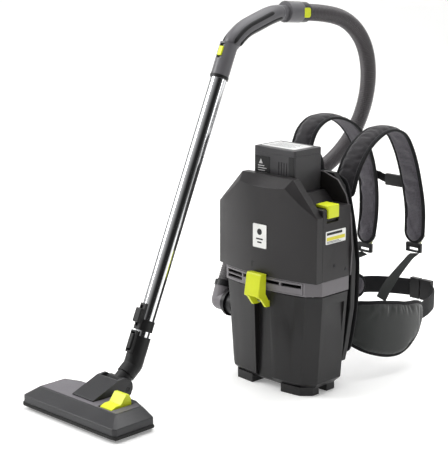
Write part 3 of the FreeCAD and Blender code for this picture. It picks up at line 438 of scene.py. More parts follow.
chrome = chromed_steel()
zinc_steel = turned_metal("zinc_plated_steel", "#b4b4b6", 0.32)
dark_steel = turned_metal("black_oxide_steel", "#3a3a3c", 0.4)
motor_alloy = turned_metal("cast_aluminium_motor", "#9c9c9f", 0.42)
seal_foam = moulded("foam_rubber_black", "#262626", 0.85, grain=1.6, relief=0.5)
filter_fleece = moulded("polyester_fleece_white", "#e2e0da", 0.92, grain=1.8, relief=0.6)
cell_sleeve = moulded("shrink_sleeve_blue", "#3b6ea5", 0.35)
solder_mask = moulded("solder_mask_green", "#1f5f3a", 0.3)
film_white = moulded("printed_film_white", "#e9e9e6", 0.30, grain=2.0, relief=0.03)
film_pale = moulded("printed_film_pale_grey", "#cfcfce", 0.32, grain=2.0, relief=0.03)
# Black ink is print on the labels, and also painted shade: the front cover's grooves and notch, and the battery's
# right corner.
black_ink_and_painted_shade = moulded("printed_ink_and_painted_shade_black", "#19191a", 0.35, grain=2.0, relief=0.03)
ink_grey = moulded("printed_ink_grey", "#6d6d70", 0.35, grain=2.0, relief=0.03)
ink_yellow = moulded("printed_ink_yellow", "#d9cf3a", 0.35, grain=2.0, relief=0.03)
nylon_bristle = moulded("nylon_bristle_black", "#242426", 0.6, grain=0.7, relief=0.8)

print("materials so far:", len(bpy.data.materials))

# %% [markdown]
# ## Woven tape, sewn covers and mesh
# Straps are polypropylene tape: thick ribs run across the tape, about 1.4 mm apart. The pads are foam in a
# woven polyester cover, with a knitted spacer mesh on the side that touches the wearer. These patterns
# follow the cloth, so they read a UV map whose units are metres of cloth.


# %% Cloth
def woven(name, colour, thread, relief, sheen=0.25):
    """Plain weave: two waves at right angles, one thread apart, multiplied, as height and as shade."""
    made, tree, shader = new_material(name, colour, 0.85, **{"Specular IOR Level": 0.15})
    shader.inputs["Sheen Weight"].default_value = sheen
    shader.inputs["Sheen Roughness"].default_value = 0.5
    cloth = add_node(tree, "ShaderNodeUVMap", uv_map="cloth").outputs["UV"]
    waves = [add_node(tree, "ShaderNodeTexWave", {
        "Vector": cloth, "Scale": per_metre(thread) / 20 * math.pi, "Distortion": 0.6,
        "Detail": 1.0}, bands_direction=way) for way in ("X", "Y")]
    crossed = add_node(tree, "ShaderNodeMath", {0: waves[0].outputs["Fac"],
                                                1: waves[1].outputs["Fac"]},
                       operation="MULTIPLY")
    slow = add_node(tree, "ShaderNodeTexNoise", {"Vector": cloth, "Scale": per_metre(35),
                                                 "Detail": 3.0})
    bump = add_node(tree, "ShaderNodeBump", {"Height": crossed.outputs["Value"],
                                             "Strength": relief, "Distance": 0.0007})
    both = add_node(tree, "ShaderNodeMath", {0: crossed.outputs["Value"],
                                             1: slow.outputs["Fac"]}, operation="ADD")
    tone = add_node(tree, "ShaderNodeMapRange", {"Value": both.outputs["Value"],
                                                 "From Max": 1.6, "To Min": 0.78,
                                                 "To Max": 1.18})
    finish_shader(tree, shader, colour, tone, bump)
    return made


def ribbed_tape(name, colour, rib=1.6):
    """Tape: ribs across its length from one wave along the cloth's length, and fine threads from a second wave across
    it.
    """
    made, tree, shader = new_material(name, colour, 0.72, **{"Specular IOR Level": 0.2})
    cloth = add_node(tree, "ShaderNodeUVMap", uv_map="cloth").outputs["UV"]
    ribs = add_node(tree, "ShaderNodeTexWave", {
        "Vector": cloth, "Scale": per_metre(rib) / 20 * math.pi, "Distortion": 0.8,
        "Detail": 1.0, "Detail Scale": 2.0}, bands_direction="X")
    threads = add_node(tree, "ShaderNodeTexWave", {
        "Vector": cloth, "Scale": per_metre(rib * 0.8) / 20 * math.pi, "Distortion": 0.5},
        bands_direction="Y")
    height = add_node(tree, "ShaderNodeMath", {0: ribs.outputs["Fac"], 1: threads.outputs["Fac"]},
                      operation="ADD")
    bump = add_node(tree, "ShaderNodeBump", {"Height": height.outputs["Value"],
                                             "Strength": 0.6, "Distance": 0.0006})
    tone = add_node(tree, "ShaderNodeMapRange", {"Value": height.outputs["Value"],
                                                 "From Max": 2.0, "To Min": 0.75,
                                                 "To Max": 1.2})
    finish_shader(tree, shader, colour, tone, bump)
    return made


def spacer_mesh(name, colour, hole=4.0):
    """Knitted spacer mesh: round holes a few mm apart, from the distance to a regular cell's middle."""
    made, tree, shader = new_material(name, colour, 0.9, **{"Specular IOR Level": 0.15})
    shader.inputs["Sheen Weight"].default_value = 0.2
    cloth = add_node(tree, "ShaderNodeUVMap", uv_map="cloth").outputs["UV"]
    cells = add_node(tree, "ShaderNodeTexVoronoi", {"Vector": cloth, "Scale": per_metre(hole),
                                                    "Randomness": 0.25},
                     voronoi_dimensions="2D")
    depth = add_node(tree, "ShaderNodeMapRange", {"Value": cells.outputs["Distance"],
                                                  "From Min": 0.15, "From Max": 0.45})
    bump = add_node(tree, "ShaderNodeBump", {"Height": depth.outputs["Result"],
                                             "Strength": 0.9, "Distance": 0.0012})
    tone = add_node(tree, "ShaderNodeMapRange", {"Value": depth.outputs["Result"],
                                                 "To Min": 0.45, "To Max": 1.1})
    finish_shader(tree, shader, colour, tone, bump)
    return made


pad_cloth = woven("woven_polyester_charcoal", "#2b292c", 1.5, 0.5)
binding_cloth = woven("woven_binding_black", "#161618", 1.2, 0.5, sheen=0.1)
hip_cloth = woven("brushed_polyester_grey_green", "#2f3130", 1.1, 0.25, sheen=0.4)
lining_mesh = spacer_mesh("knitted_spacer_mesh_grey", "#5b585e")
black_tape = ribbed_tape("woven_polypropylene_tape_black", "#171719")
grey_tape = ribbed_tape("woven_polypropylene_tape_grey", "#2e302f")
stitch_thread = moulded("polyester_thread_grey", "#6a6a6c", 0.7, grain=0.8)


# %% [markdown]
# ## Shells that keep their moulded shape
# A moulded part has no knife edge: the mould's corners are rounded by about a millimetre. Where the frame's
# own shape is right, its mesh is copied, its loose triangles are joined, flat areas are made whole again,
# and a bevel rounds the edges. The copy then stands for the frame's piece.

# %% Rounded copies of frame pieces
SLOT_OF = {row["node"]: row["material_slot"] for row in frame["record"]["subparts"]}
BODY_OF = {node: body for body, nodes in frame["record"]["behaviour"]["bodies"].items()
           for node in nodes}


def stands_for(piece, node, material=None):
    """Hangs a piece on the body of a frame node, hides that node and takes over its finish."""
    if material is not None:
        piece.data.materials.clear()
        piece.data.materials.append(material)
    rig.ride(piece, BODY_OF[node])
    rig.replaces(piece, node)
    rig.slot(piece, SLOT_OF[node])
    return piece


def placed(piece, material, node):
    """Gives a new piece its material, and the body and the slot of a frame node."""
    piece.data.materials.append(material)
    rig.ride(piece, BODY_OF[node])
    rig.slot(piece, SLOT_OF[node])
    return piece


def rounded_copy(node, name, material, width=1.2, segments=3, angle=28):
    """The frame's mesh with corners merged, flat areas joined and its edges rounded by a bevel."""
    mesh = bpy.data.meshes.new(name)
    shape = bmesh.new()
    shape.from_mesh(frame["nodes"][node].data)
    bmesh.ops.remove_doubles(shape, verts=shape.verts, dist=0.00002)
    bmesh.ops.dissolve_limit(shape, angle_limit=math.radians(1.0), verts=shape.verts,
                             edges=shape.edges)
    shape.to_mesh(mesh)
    shape.free()
    mesh.polygons.foreach_set("use_smooth", np.ones(len(mesh.polygons), bool))
    mesh.set_sharp_from_angle(angle=math.radians(angle))
    piece = bpy.data.objects.new(name, mesh)
    bpy.context.scene.collection.objects.link(piece)
    bevel = piece.modifiers.new("rounded_edges", "BEVEL")
    bevel.width, bevel.segments = width * MM, segments
    bevel.limit_method, bevel.angle_limit = "ANGLE", math.radians(angle)
    bevel.use_clamp_overlap, bevel.harden_normals = True, True
    return stands_for(piece, node, material)


for node, name, material, width in (
        ("front_cover", "front_cover_shell", charcoal_abs, 5.0),
        ("side_housing", "side_housing_shell", charcoal_abs, 1.6),
        ("rear_shell", "rear_shell_plate", charcoal_abs, 1.2),
        ("vent_ring", "vent_ring_band", warm_grey_abs_and_painted_highlight, 1.0),
        ("vent_grille", "exhaust_grille", warm_grey_abs_and_painted_highlight, 0.6),
        ("dust_container", "dust_container_shell", graphite_pp, 4.0),
        ("latch", "latch_lever_yellow", lime_abs, 1.4),
        ("release_lever", "battery_release_yellow", lime_abs, 1.2),
        ("battery_case", "battery_case_shell", battery_pc, 0.8),
        ("battery_lid", "battery_lid_shell", battery_pc, 0.8),
        ("back_frame", "back_frame_plate", black_nylon, 2.0),
        ("nozzle_base", "sole_plate", black_nylon, 0.8),
        ("nozzle_cover", "floor_tool_cover", tool_pp, 1.6),
        ("nozzle_hood", "floor_tool_hood", tool_pp, 2.0),
        ("brush_pedal", "brush_pedal_yellow", lime_abs, 1.2),
        ("hip_buckle_plug", "hip_buckle_plug_part", black_nylon, 2.0),
        ("hip_buckle_socket", "hip_buckle_socket_part", black_nylon, 2.0),
        ("sternum_buckle", "chest_buckle", black_nylon, 1.0),
        ("strap_adjusters", "strap_adjuster_pair", black_nylon, 1.6)):
    rounded_copy(node, name, material, width)

print("rounded copies:", sum("rounded_edges" in piece.modifiers for piece in bpy.data.objects))

# %% Finishes of the frame pieces that keep their own mesh
FINISHES = (
    (seal_foam, "container_seal exhaust_filter"), (filter_fleece, "filter_basket filter_bag"),
    (black_nylon, "inlet_port hose_cuff_inlet hose_cuff_grip motor_deck battery_socket tube_collar "
                  "tube_button nozzle_socket socket_clip nozzle_elbow floor_wheels"),
    (warm_grey_abs_and_painted_highlight, "hose_elbow"), (zinc_steel, "latch_pin motor_shaft pedal_pin"),
    (motor_alloy, "suction_motor impeller"), (solder_mask, "control_board"),
    (dark_steel, "housing_screws"), (cell_sleeve, "battery_cells"), (grip_abs, "handle_pipe"),
    (chrome, "outer_tube inner_tube"), (lime_abs, "air_slider"), (nylon_bristle, "brush_strips"))
for finish, nodes in FINISHES:
    for node in nodes.split():
        mesh = frame["nodes"][node].data
        mesh.materials.clear()
        mesh.materials.append(finish)

# %% [markdown]
# ## Suction hose
# The hose is a thin corrugated EVA tube, about 42 mm across its ribs. Its route is one quadratic NURBS
# curve through listed control points: up from the inlet elbow, back beside the harness, and over in a
# free arch to the grip. The corrugation is a sine of the length along that curve, so every rib has the
# same pitch wherever the hose bends.

# %% Hose route
HOSE_ROUTE = [(-190, 1, 214), (-193, 33, 283), (-198, 90, 352), (-203, 172, 400),
              (-203, 257, 413), (-198, 349, 438), (-190, 438, 484), (-181, 501, 559),
              (-171, 525, 657), (-159, 497, 755), (-147, 423, 824), (-140, 326, 858),
              (-140, 226, 865)]
HOSE_RADIUS = 21.0
RIB_PITCH = 5.4
RIB_DEPTH = 1.7


def nurbs_line(name, route):
    """Points on a quadratic NURBS curve whose control points are the route, in metres."""
    curve = bpy.data.curves.new(name, "CURVE")
    curve.dimensions = "3D"
    spline = curve.splines.new("NURBS")
    spline.points.add(len(route) - 1)
    for point, place in zip(spline.points, route):
        point.co = (*[c * MM for c in place], 1.0)
    spline.order_u = 3
    spline.use_endpoint_u = True
    spline.resolution_u = 24
    holder = bpy.data.objects.new(name, curve)
    mesh = bpy.data.meshes.new_from_object(holder)
    line = np.zeros(len(mesh.vertices) * 3)
    mesh.vertices.foreach_get("co", line)
    bpy.data.objects.remove(holder)
    bpy.data.meshes.remove(mesh)
    return line.reshape(-1, 3)


def arc_length(line):
    """Distance along a line of points, from its start to each point."""
    steps = np.linalg.norm(np.diff(line, axis=0), axis=1)
    return np.concatenate([[0], np.cumsum(steps)])


def evenly(line, step):
    """The line's points moved so that they are one step apart along it."""
    along = arc_length(line)
    wanted = np.linspace(0, along[-1], int(round(along[-1] / step)) + 1)
    return np.stack([np.interp(wanted, along, line[:, i]) for i in range(3)], axis=1)


def tangents(line):
    """Unit directions along a line of points, from the difference of the points on either side."""
    way = np.gradient(line, axis=0)
    return way / np.linalg.norm(way, axis=1)[:, None]


def cross_frame(line, side):
    """Two unit directions square to the line at each point: the second is the tangent crossed with the
    side, and the first is that crossed with the tangent, so neither twists while the side stays put."""
    tangent = tangents(line)
    up = np.cross(tangent, side)
    up /= np.linalg.norm(up, axis=1)[:, None]
    return np.cross(up, tangent), up


def smoothed(line, times):
    """Each inner point moved to the mean of itself and its two neighbours, several times over."""
    line = line.copy()
    for _ in range(times):
        line[1:-1] = (line[:-2] + line[1:-1] + line[2:]) / 3
    return line


def corrugated_tube(name, line, radius, pitch, depth, around=28):
    """Radius = outer radius less depth times a rounded wave of the length over the pitch, and four rows of
    points to each rib. The ends are closed by flat caps."""
    line = smoothed(evenly(line, pitch * MM / 6), 4)
    along = arc_length(line)
    wave = 0.5 - 0.5 * np.cos(2 * np.pi * along / (pitch * MM))
    ring = (radius - depth * (1 - wave) ** 1.6) * MM
    first, second = cross_frame(line, (1.0, 0, 0))
    angle = np.linspace(0, 2 * np.pi, around, endpoint=False)
    points = (line[:, None] + ring[:, None, None]
              * (np.cos(angle)[None, :, None] * first[:, None]
                 + np.sin(angle)[None, :, None] * second[:, None]))
    faces = list(grid_faces(len(line), around, closed=True))
    last = (len(line) - 1) * around
    faces += [list(range(around))[::-1], list(range(last, last + around))]
    return surface_object(name, points, faces, 70), line


hose_line = nurbs_line("hose_line", HOSE_ROUTE)
hose, hose_path = corrugated_tube("suction_hose", hose_line, HOSE_RADIUS, RIB_PITCH, RIB_DEPTH)
print(f"hose: {arc_length(hose_path)[-1]:.3f} m, {len(hose.data.polygons)} faces")

hose_eva = moulded("corrugated_eva_grey_brown", "#4b484a", 0.36, grain=1.4, relief=0.1)
stands_for(hose, "hose", hose_eva)
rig.cord(hose, exit=hose_path[0], length=float(arc_length(hose_path)[-1]),
        diameter=2 * HOSE_RADIUS * MM, far_end="object", stiffness="medium", lay="loose",
        path=hose_path)

# %% [markdown]
# ## Harness pads
# A harness pad is a strip of foam between two covers. The covers are sewn together along the outline, and a
# folded binding tape hides the raw edges, so the pad is thin at its rim and crowned in the middle. The strip
# is swept along a line through listed stations. A short cloth simulation then blows the covers up
# against their seams, which are held still, and gives the foam its soft puckers.

# %% Sweeping tools
def through(stations, steps=10):
    """A smooth line through stations of any number of columns. Each span is a Catmull-Rom cubic: its end
    slopes are half the distance between the stations on either side."""
    known = np.asarray(stations, float)
    known = np.vstack([2 * known[0] - known[1], known, 2 * known[-1] - known[-2]])
    before, start, end, after = (known[i:len(known) - 3 + i, None] for i in range(4))
    t = np.linspace(0, 1, steps, endpoint=False)[None, :, None]
    spans = 0.5 * (2 * start + (end - before) * t
                   + (2 * before - 5 * start + 4 * end - after) * t ** 2
                   + (3 * start - before - 3 * end + after) * t ** 3)
    return np.vstack([spans.reshape(-1, known.shape[1]), known[-2]])


def respaced(stations, step):
    """Rows of any width put one step apart along the line of their first three columns."""
    along = arc_length(stations[:, :3])
    wanted = np.linspace(0, along[-1], int(round(along[-1] / step)) + 1)
    return np.stack([np.interp(wanted, along, column) for column in stations.T], axis=1)


def sized(line, half_width, half_thick):
    """A line's points with the same half width and half thickness added to each, as swept() reads them."""
    return np.hstack([line, np.tile((half_width, half_thick), (len(line), 1))])


def pad_section(points=24, rim=9.0, rim_thick=4.6):
    """A function of half width and half thickness in mm that gives a closed section. The thickness is the
    rim's, rounded off at the tips, plus a crown that rises between the two rims."""
    across = np.sin(np.linspace(-1, 1, points) * math.pi / 2)
    there_and_back = np.concatenate([across, across[-2:0:-1]])
    way = np.concatenate([np.ones(points), -np.ones(points - 2)])

    def section(half_width, half_thick):
        u = there_and_back * half_width
        inner = np.clip(1 - (u / max(half_width - rim, 1.0)) ** 2, 0, 1) ** 0.45
        edge = rim_thick / 2 * np.sqrt(np.clip(1 - there_and_back ** 10, 0, 1))
        return np.stack([u, way * (edge + (half_thick - rim_thick / 2) * inner)], axis=1)
    return section


def round_section(points=20, power=0.35):
    """A closed section with rounded corners: a superellipse, squarer for a smaller power."""
    angle = np.linspace(0, 2 * math.pi, points, endpoint=False)
    first = np.sign(np.cos(angle)) * np.abs(np.cos(angle)) ** power
    second = np.sign(np.sin(angle)) * np.abs(np.sin(angle)) ** power
    return lambda half_width, half_thick: np.stack([first * half_width, second * half_thick], 1)


def swept(name, rows, first, second, section, closed=False):
    """A section carried along a line. Each row is x, y, z, half width and half thickness in mm, and first
    and second are the section's own two directions there. UVs are metres along and around the section."""
    rings = np.stack([section(w, t) for w, t in rows[:, 3:5]])
    points = (rows[:, None, :3] + rings[..., :1] * first[:, None] + rings[..., 1:] * second[:, None])
    count, around = rings.shape[:2]
    if closed:
        points = np.concatenate([points, points[:1]])
    quads = grid_faces(count + closed, around, closed=True)
    if closed:
        quads = quads % (count * around)
        points = points[:-1]
    faces = list(quads) if closed else list(quads) + [
        list(range(around))[::-1], list(range((count - 1) * around, count * around))]
    made = surface_object(name, points * MM, faces, 75)
    along = arc_length(rows[:, :3]) * MM
    girth = np.concatenate([[0], np.cumsum(np.linalg.norm(
        np.diff(np.vstack([rings[count // 2], rings[count // 2][:1]]), axis=0), axis=1))]) * MM
    lengths = np.append(along, along[-1] + along[1]) if closed else along
    row, column = np.meshgrid(np.arange(count - 1 + closed), np.arange(around), indexing="ij")
    corners = np.stack([
        np.stack([lengths[row + i], girth[column + j]], axis=-1)
        for i, j in ((0, 0), (0, 1), (1, 1), (1, 0))], axis=2).reshape(-1, 2)
    uv = np.zeros((len(made.data.loops), 2))
    uv[:len(corners)] = corners
    layer = made.data.uv_layers.new(name="cloth")
    layer.data.foreach_set("uv", uv.ravel())
    return made


def outward(piece):
    """Turns every face outwards."""
    shape = bmesh.new()
    shape.from_mesh(piece.data)
    bmesh.ops.recalc_face_normals(shape, faces=shape.faces)
    shape.to_mesh(piece.data)
    shape.free()
    return piece


def blown(piece, held, cap, pressure=4.0, growth=0.05):
    """Runs the cloth solver for 20 frames with gravity off. Vertices in held stay where they are, and
    no other one may move further than the cap, in mm."""
    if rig.quick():
        return
    group = piece.vertex_groups.new(name="seams")
    group.add(np.flatnonzero(held).tolist(), 1.0, "REPLACE")
    cloth = piece.modifiers.new("cloth", "CLOTH")
    cloth.settings.use_pressure = True
    cloth.settings.uniform_pressure_force = pressure
    cloth.settings.effector_weights.gravity = 0
    cloth.settings.vertex_group_mass = "seams"
    cloth.settings.shrink_min = -growth
    cloth.settings.tension_stiffness = cloth.settings.compression_stiffness = 20
    cloth.settings.bending_stiffness = 0.8
    cloth.point_cache.frame_start, cloth.point_cache.frame_end = 1, 20
    scene = bpy.context.scene
    for step in range(1, 21):
        scene.frame_set(step)
    done = piece.evaluated_get(bpy.context.evaluated_depsgraph_get()).data
    before, after = np.zeros((2, len(piece.data.vertices) * 3))
    piece.data.vertices.foreach_get("co", before)
    done.vertices.foreach_get("co", after)
    move = (after - before).reshape(-1, 3)
    far = np.linalg.norm(move, axis=1, keepdims=True)
    move *= np.minimum(1, cap * MM / np.maximum(far, 1e-9))
    piece.modifiers.remove(cloth)
    piece.vertex_groups.clear()
    piece.data.vertices.foreach_set("co", (before.reshape(-1, 3) + move).ravel())
    piece.data.update()
    scene.frame_set(1)
    print(f"{piece.name}: {len(far)} vertices, moved {far.max() / MM:.1f} mm at most")


def rounded_ends(rows, start, end, least=0.1):
    """Half widths cut down near each end so that the outline there is a half circle of that radius."""
    along = arc_length(rows[:, :3])
    share = np.ones(len(rows))
    for gap, radius in ((along, start), (along[-1] - along, end)):
        if radius:
            near = np.clip(1 - gap / radius, 0, 1)
            share *= np.maximum(np.sqrt(1 - near ** 2), least)
    rows = rows.copy()
    rows[:, 3] *= share
    rows[:, 4] *= np.maximum(share, 0.35)
    return rows


def outline(rows, first, inset):
    """The closed line that runs up one edge of a strip and back down the other, inset from the rim."""
    reach = np.maximum(rows[:, 3:4] - inset, 0.2) * first
    return np.vstack([rows[:, :3] + reach, (rows[:, :3] - reach)[::-1]])


def bound_edge(name, rows, first, second, width, thick, material, node):
    """Binding tape folded over a pad's rim: a rounded section that follows the outline."""
    both = respaced(np.hstack([outline(rows, first, width / 2 - 0.6),
                               np.vstack([second, second[::-1]])]), 6.0)
    path, normal = both[:, :3], both[:, 3:]
    tangent = np.roll(path, -1, axis=0) - np.roll(path, 1, axis=0)
    tangent /= np.linalg.norm(tangent, axis=1)[:, None]
    out = np.cross(tangent, normal)
    out /= np.linalg.norm(out, axis=1)[:, None]
    piece = outward(swept(name, sized(path, width / 2, thick / 2), out, np.cross(out, tangent),
                          round_section(14, 0.55), True))
    return placed(piece, material, node)


def stitched(name, path, normal, proud, length, pitch, node, thick=0.9):
    """A row of stitches: each is a short thread, a diamond in section and pointed at both ends, laid
    along the path and standing proud of it by that many mm along the normal."""
    rows = respaced(np.hstack([path + normal * proud, normal]), pitch)
    middle, up = rows[:, :3], rows[:, 3:]
    tangent = tangents(middle)
    side = np.cross(tangent, up)
    shape = np.array([(-0.5, 0, -0.3), (-0.3, 0.5, 0), (-0.3, 0, 0.5), (-0.3, -0.5, 0),
                      (-0.3, 0, -0.5), (0.3, 0.5, 0), (0.3, 0, 0.5), (0.3, -0.5, 0),
                      (0.3, 0, -0.5), (0.5, 0, -0.3)]) * (length, thick, thick)
    points = (middle[:, None] + shape[None, :, :1] * tangent[:, None]
              + shape[None, :, 1:2] * side[:, None] + shape[None, :, 2:] * up[:, None])
    one = [(0, 2, 1), (0, 3, 2), (0, 4, 3), (0, 1, 4), (9, 5, 6), (9, 6, 7), (9, 7, 8), (9, 8, 5),
           (1, 2, 6, 5), (2, 3, 7, 6), (3, 4, 8, 7), (4, 1, 5, 8)]
    faces = [[c + 10 * i for c in face] for i in range(len(rows)) for face in one]
    piece = outward(surface_object(name, points * MM, faces, 30))
    return placed(piece, stitch_thread, node)


def padded_strip(name, node, rows, side, outer, covers, ends, cap, rim=9.0, binding=9.5, step=5.0):
    """One pad: the swept foam, blown up against its rim, its binding and its stitches. covers are the
    materials of the outer and the inner face, and outer is +1 or -1 for which way is out."""
    rows = rounded_ends(respaced(np.asarray(rows), step), *ends)
    first, second = cross_frame(rows[:, :3], side)
    half_points = 24
    section = pad_section(half_points, rim)
    piece = swept(name, rows, first, second, section)
    around = 2 * half_points - 2
    columns = np.tile(np.arange(around), len(rows))
    ring = np.abs(np.stack([section(w, t)[:, 0] / w for w, t in rows[:, 3:5]])).ravel()
    edge = (1 - ring) * np.repeat(rows[:, 3], around) < rim
    ends_held = np.repeat((np.arange(len(rows)) < 2) | (np.arange(len(rows)) > len(rows) - 3), around)
    faces_inner = (columns >= around // 2) if outer > 0 else (columns < around // 2)
    for material in covers:
        piece.data.materials.append(material)
    index = np.zeros(len(piece.data.polygons), int)
    index[:len(columns) - around] = faces_inner[:len(columns) - around]
    piece.data.polygons.foreach_set("material_index", index)
    outward(piece)
    blown(piece, edge | ends_held, cap)
    smooth = piece.modifiers.new("smooth", "SUBSURF")
    smooth.levels = smooth.render_levels = 1
    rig.ride(piece, BODY_OF[node])
    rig.slot(piece, SLOT_OF[node])
    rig.replaces(piece, node)
    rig.padded(piece, fill=0.7)
    bound_edge(name + "_binding", rows, first, second, binding, 6.4, binding_cloth, node)
    stitch_line = outline(rows[3:-3], first[3:-3], binding - 1.2)
    normals = np.vstack([second[3:-3], second[3:-3][::-1]]) * outer
    stitched(name + "_stitches", stitch_line, normals, 3.3, 2.6, 4.0, node)
    return piece


# %% Shoulder straps
STRAP_X = 80.0
STRAP_LINES = {
    "right": [(121, 452), (146, 515), (190, 566), (255, 594), (315, 581), (355, 531), (386, 455),
              (406, 374), (407, 290)],
    "left": [(121, 470), (148, 530), (172, 582), (215, 608), (270, 606), (334, 577), (384, 518),
             (415, 432), (422, 345), (410, 262)],
}
for name, sign in (("right", 1), ("left", -1)):
    stations = [(sign * STRAP_X, y, z, 33 * (1 - 0.022 * max(0, i - 4)), 6.6)
                for i, (y, z) in enumerate(STRAP_LINES[name])]
    padded_strip("shoulder_pad_" + name, "shoulder_strap_" + name, through(stations),
                 (1.0, 0, 0), -1, (pad_cloth, lining_mesh), (8, 26), cap=2.5)

# %% [markdown]
# ## Hip belt
# Each wing of the hip belt is a wide soft pad that wraps the wearer's side. Its top edge carries a strip of
# tape, and black tape runs on from its nose to the buckle.

# %% Hip pads
HIP_WINGS = {
    1: [(112, 117, 150, 52, 6), (145, 168, 131, 66, 7), (158, 250, 113, 68, 7.5),
        (151, 325, 121, 48, 7), (134, 374, 126, 24, 6)],
    -1: [(-112, 117, 150, 52, 6), (-145, 168, 131, 62, 7), (-158, 250, 113, 66, 7.5),
         (-154, 340, 119, 55, 7.5), (-143, 415, 124, 43, 7), (-128, 470, 126, 26, 6)],
}
for sign, stations in HIP_WINGS.items():
    name = "hip_wing_" + ("right" if sign > 0 else "left")
    padded_strip(name, "hip_pads", through(stations), (0, 0, 1.0), sign,
                 (hip_cloth, lining_mesh), (6, 14), cap=3.5)


# %% [markdown]
# ## Woven tape
# Flat tape is modelled directly, because a remesh would lose it: a thin section with rounded edges follows
# each strap, and half a turn is twisted into the strap that runs down to the hip wing.

# %% Tape
def tape(name, node, stations, sides, width, thick, material):
    """A tape of one width along a line, with a side direction at each station that is blended between."""
    rows = respaced(through([(*place, *side) for place, side in zip(stations, sides)]), 4.0)
    piece = outward(swept(name, sized(rows[:, :3], width / 2, thick / 2),
                          *cross_frame(rows[:, :3], rows[:, 3:6]), round_section(20, 0.35)))
    placed(piece, material, node)
    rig.replaces(piece, node)


for name, sign in (("right", 1), ("left", -1)):
    y, z = STRAP_LINES[name][-1]
    tape("lower_tape_" + name, "strap_webbing",
         [(sign * 82, y, z - 30), (sign * 92, y - 38, z - 36), (sign * 108, 300, 232 - (name == "left") * 8),
          (sign * 124, 246, 214), (sign * 134, 208, 192)],
         [(sign * 0.9, -0.45, 0), (sign * 0.9, -0.45, 0), (sign, 0, -0.1), (sign * 0.8, 0.4, -0.3),
          (sign * 0.7, 0.57, -0.42)],
         25, 2.2, grey_tape)
HIP_TAPES = {
    "right": [(138, 358, 126), (129.5, 384, 126), (113, 436, 125), (80, 500, 123), (30, 550, 122)],
    "left": [(-132, 455, 126), (-123, 480, 126), (-100, 506, 125), (-70, 530, 123), (-30, 550, 122)],
}
for name, line in HIP_TAPES.items():
    tape("belt_tape_" + name, "hip_webbing", line, [(0, 0, 1)] * len(line), 46, 2.6, black_tape)
tape("chest_tape_right", "sternum_webbing", [(82, 398, 442), (62, 410, 440), (44, 415, 437), (22, 421, 436)],
     [(0, 0, 1)] * 4, 21, 2.2, black_tape)
tape("chest_tape_left", "sternum_webbing",
     [(-22, 424, 436), (-44, 431, 437), (-62, 435, 440), (-86, 426, 442)],
     [(0, 0, 1)] * 4, 21, 2.2, black_tape)
tape("carry_loop", "carry_handle",
     [(-46, 78.5, 513), (-45, 78.5, 532), (-36, 78.5, 550), (-14, 78.5, 560), (14, 78.5, 560),
      (36, 78.5, 550), (45, 78.5, 532), (46, 78.5, 513)], [(0, 1, 0)] * 8, 23, 3.4, black_tape)

# %% [markdown]
# ## Back pad
# The pad that lies on the wearer's back is a thick foam board in the same covers. Two sewn channels across it
# let the foam bend, so its thickness dips there.

# %% Back pad
PAD_STATIONS = [(66, 122), (110, 135), (200, 149), (308, 151), (392, 138), (450, 125), (486, 114),
                (513, 96)]
pad_rows = respaced(through([(0, 99.2, z, half, 12.4) for z, half in PAD_STATIONS]), 6.0)
for channel in (190, 330):
    pad_rows[:, 4] *= 1 - 0.42 * np.exp(-((pad_rows[:, 2] - channel) / 9) ** 2)
padded_strip("back_cushion", "back_pad", pad_rows, (1.0, 0, 0), 1, (lining_mesh, pad_cloth),
             (26, 22), cap=3, rim=12.0, binding=11.0, step=6.0)

# %% [markdown]
# ## Films, lines and small mouldings
# Labels are printed films about a millimetre thick. The marks on them are plain shapes that say nothing.
# Grooves too fine to be cut in the frame are drawn as thin strips of black ink: painted shade where the grooves and
# the notch are.


# %% Flat pieces
def rounded_rectangle(width, height, radius, steps=5):
    """Corners of a rectangle about its middle, with quarter circles at its corners."""
    turn = np.linspace(0, math.pi / 2, steps)
    quarters = [np.stack([np.cos(turn + i * math.pi / 2), np.sin(turn + i * math.pi / 2)], axis=1)
                * radius + np.array(way) * (width / 2 - radius, height / 2 - radius)
                for i, way in enumerate([(1, 1), (-1, 1), (-1, -1), (1, -1)])]
    return np.vstack(quarters)


def flat_piece(name, node, centre, across, up, outline_points, thick, material):
    """A flat plate: its outline is in mm along across and up from the centre of its back face."""
    across, up = np.array(across, float), np.array(up, float)
    corners = np.asarray(outline_points, float)
    back = np.array(centre, float) + corners[:, :1] * across + corners[:, 1:] * up
    count = len(corners)
    points = np.vstack([back, back + np.cross(across, up) * thick])
    faces = [list(range(count))[::-1], list(range(count, 2 * count))]
    faces += [[i, (i + 1) % count, count + (i + 1) % count, count + i] for i in range(count)]
    return placed(outward(surface_object(name, points * MM, faces, 30)), material, node)


FRONT = ((1, 0, 0), (0, 0, 1))
RIGHT = ((0, 1, 0), (0, 0, 1))
TOP = ((1, 0, 0), (0, 1, 0))

badge = flat_piece("badge_film", "name_plates", (0, -79.5, 375), *FRONT,
                   rounded_rectangle(42, 56, 2.5), 1.7, film_white)
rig.replaces(badge, "name_plates")
flat_piece("badge_dot", "name_plates", (0, -81.2, 385), *FRONT, rounded_rectangle(15, 15, 7.4),
           0.25, black_ink_and_painted_shade)
for i, width in enumerate((22, 14)):
    flat_piece(f"badge_bar_{i}", "name_plates", (0, -81.2, 368 - 8 * i), *FRONT,
               rounded_rectangle(width, 3.6, 1.7), 0.25, black_ink_and_painted_shade)

label = flat_piece("side_label_film", "name_plates", (153.9, 9, 385), *RIGHT,
                   rounded_rectangle(70, 30, 2), 0.8, film_white)
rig.replaces(label, "name_plates")
for name, y, z, width, height, ink in (("band", 4, 394, 54, 6, black_ink_and_painted_shade),
                                       ("tint", 9, 382, 64, 8, ink_yellow),
                                       ("line_a", -1, 375.5, 42, 1.6, ink_grey),
                                       ("line_b", 3, 372.6, 50, 1.4, ink_grey)):
    flat_piece("side_label_" + name, "name_plates", (154.7, y, z), *RIGHT,
               rounded_rectangle(width, height, min(height, 2) / 2.1), 0.2, ink)

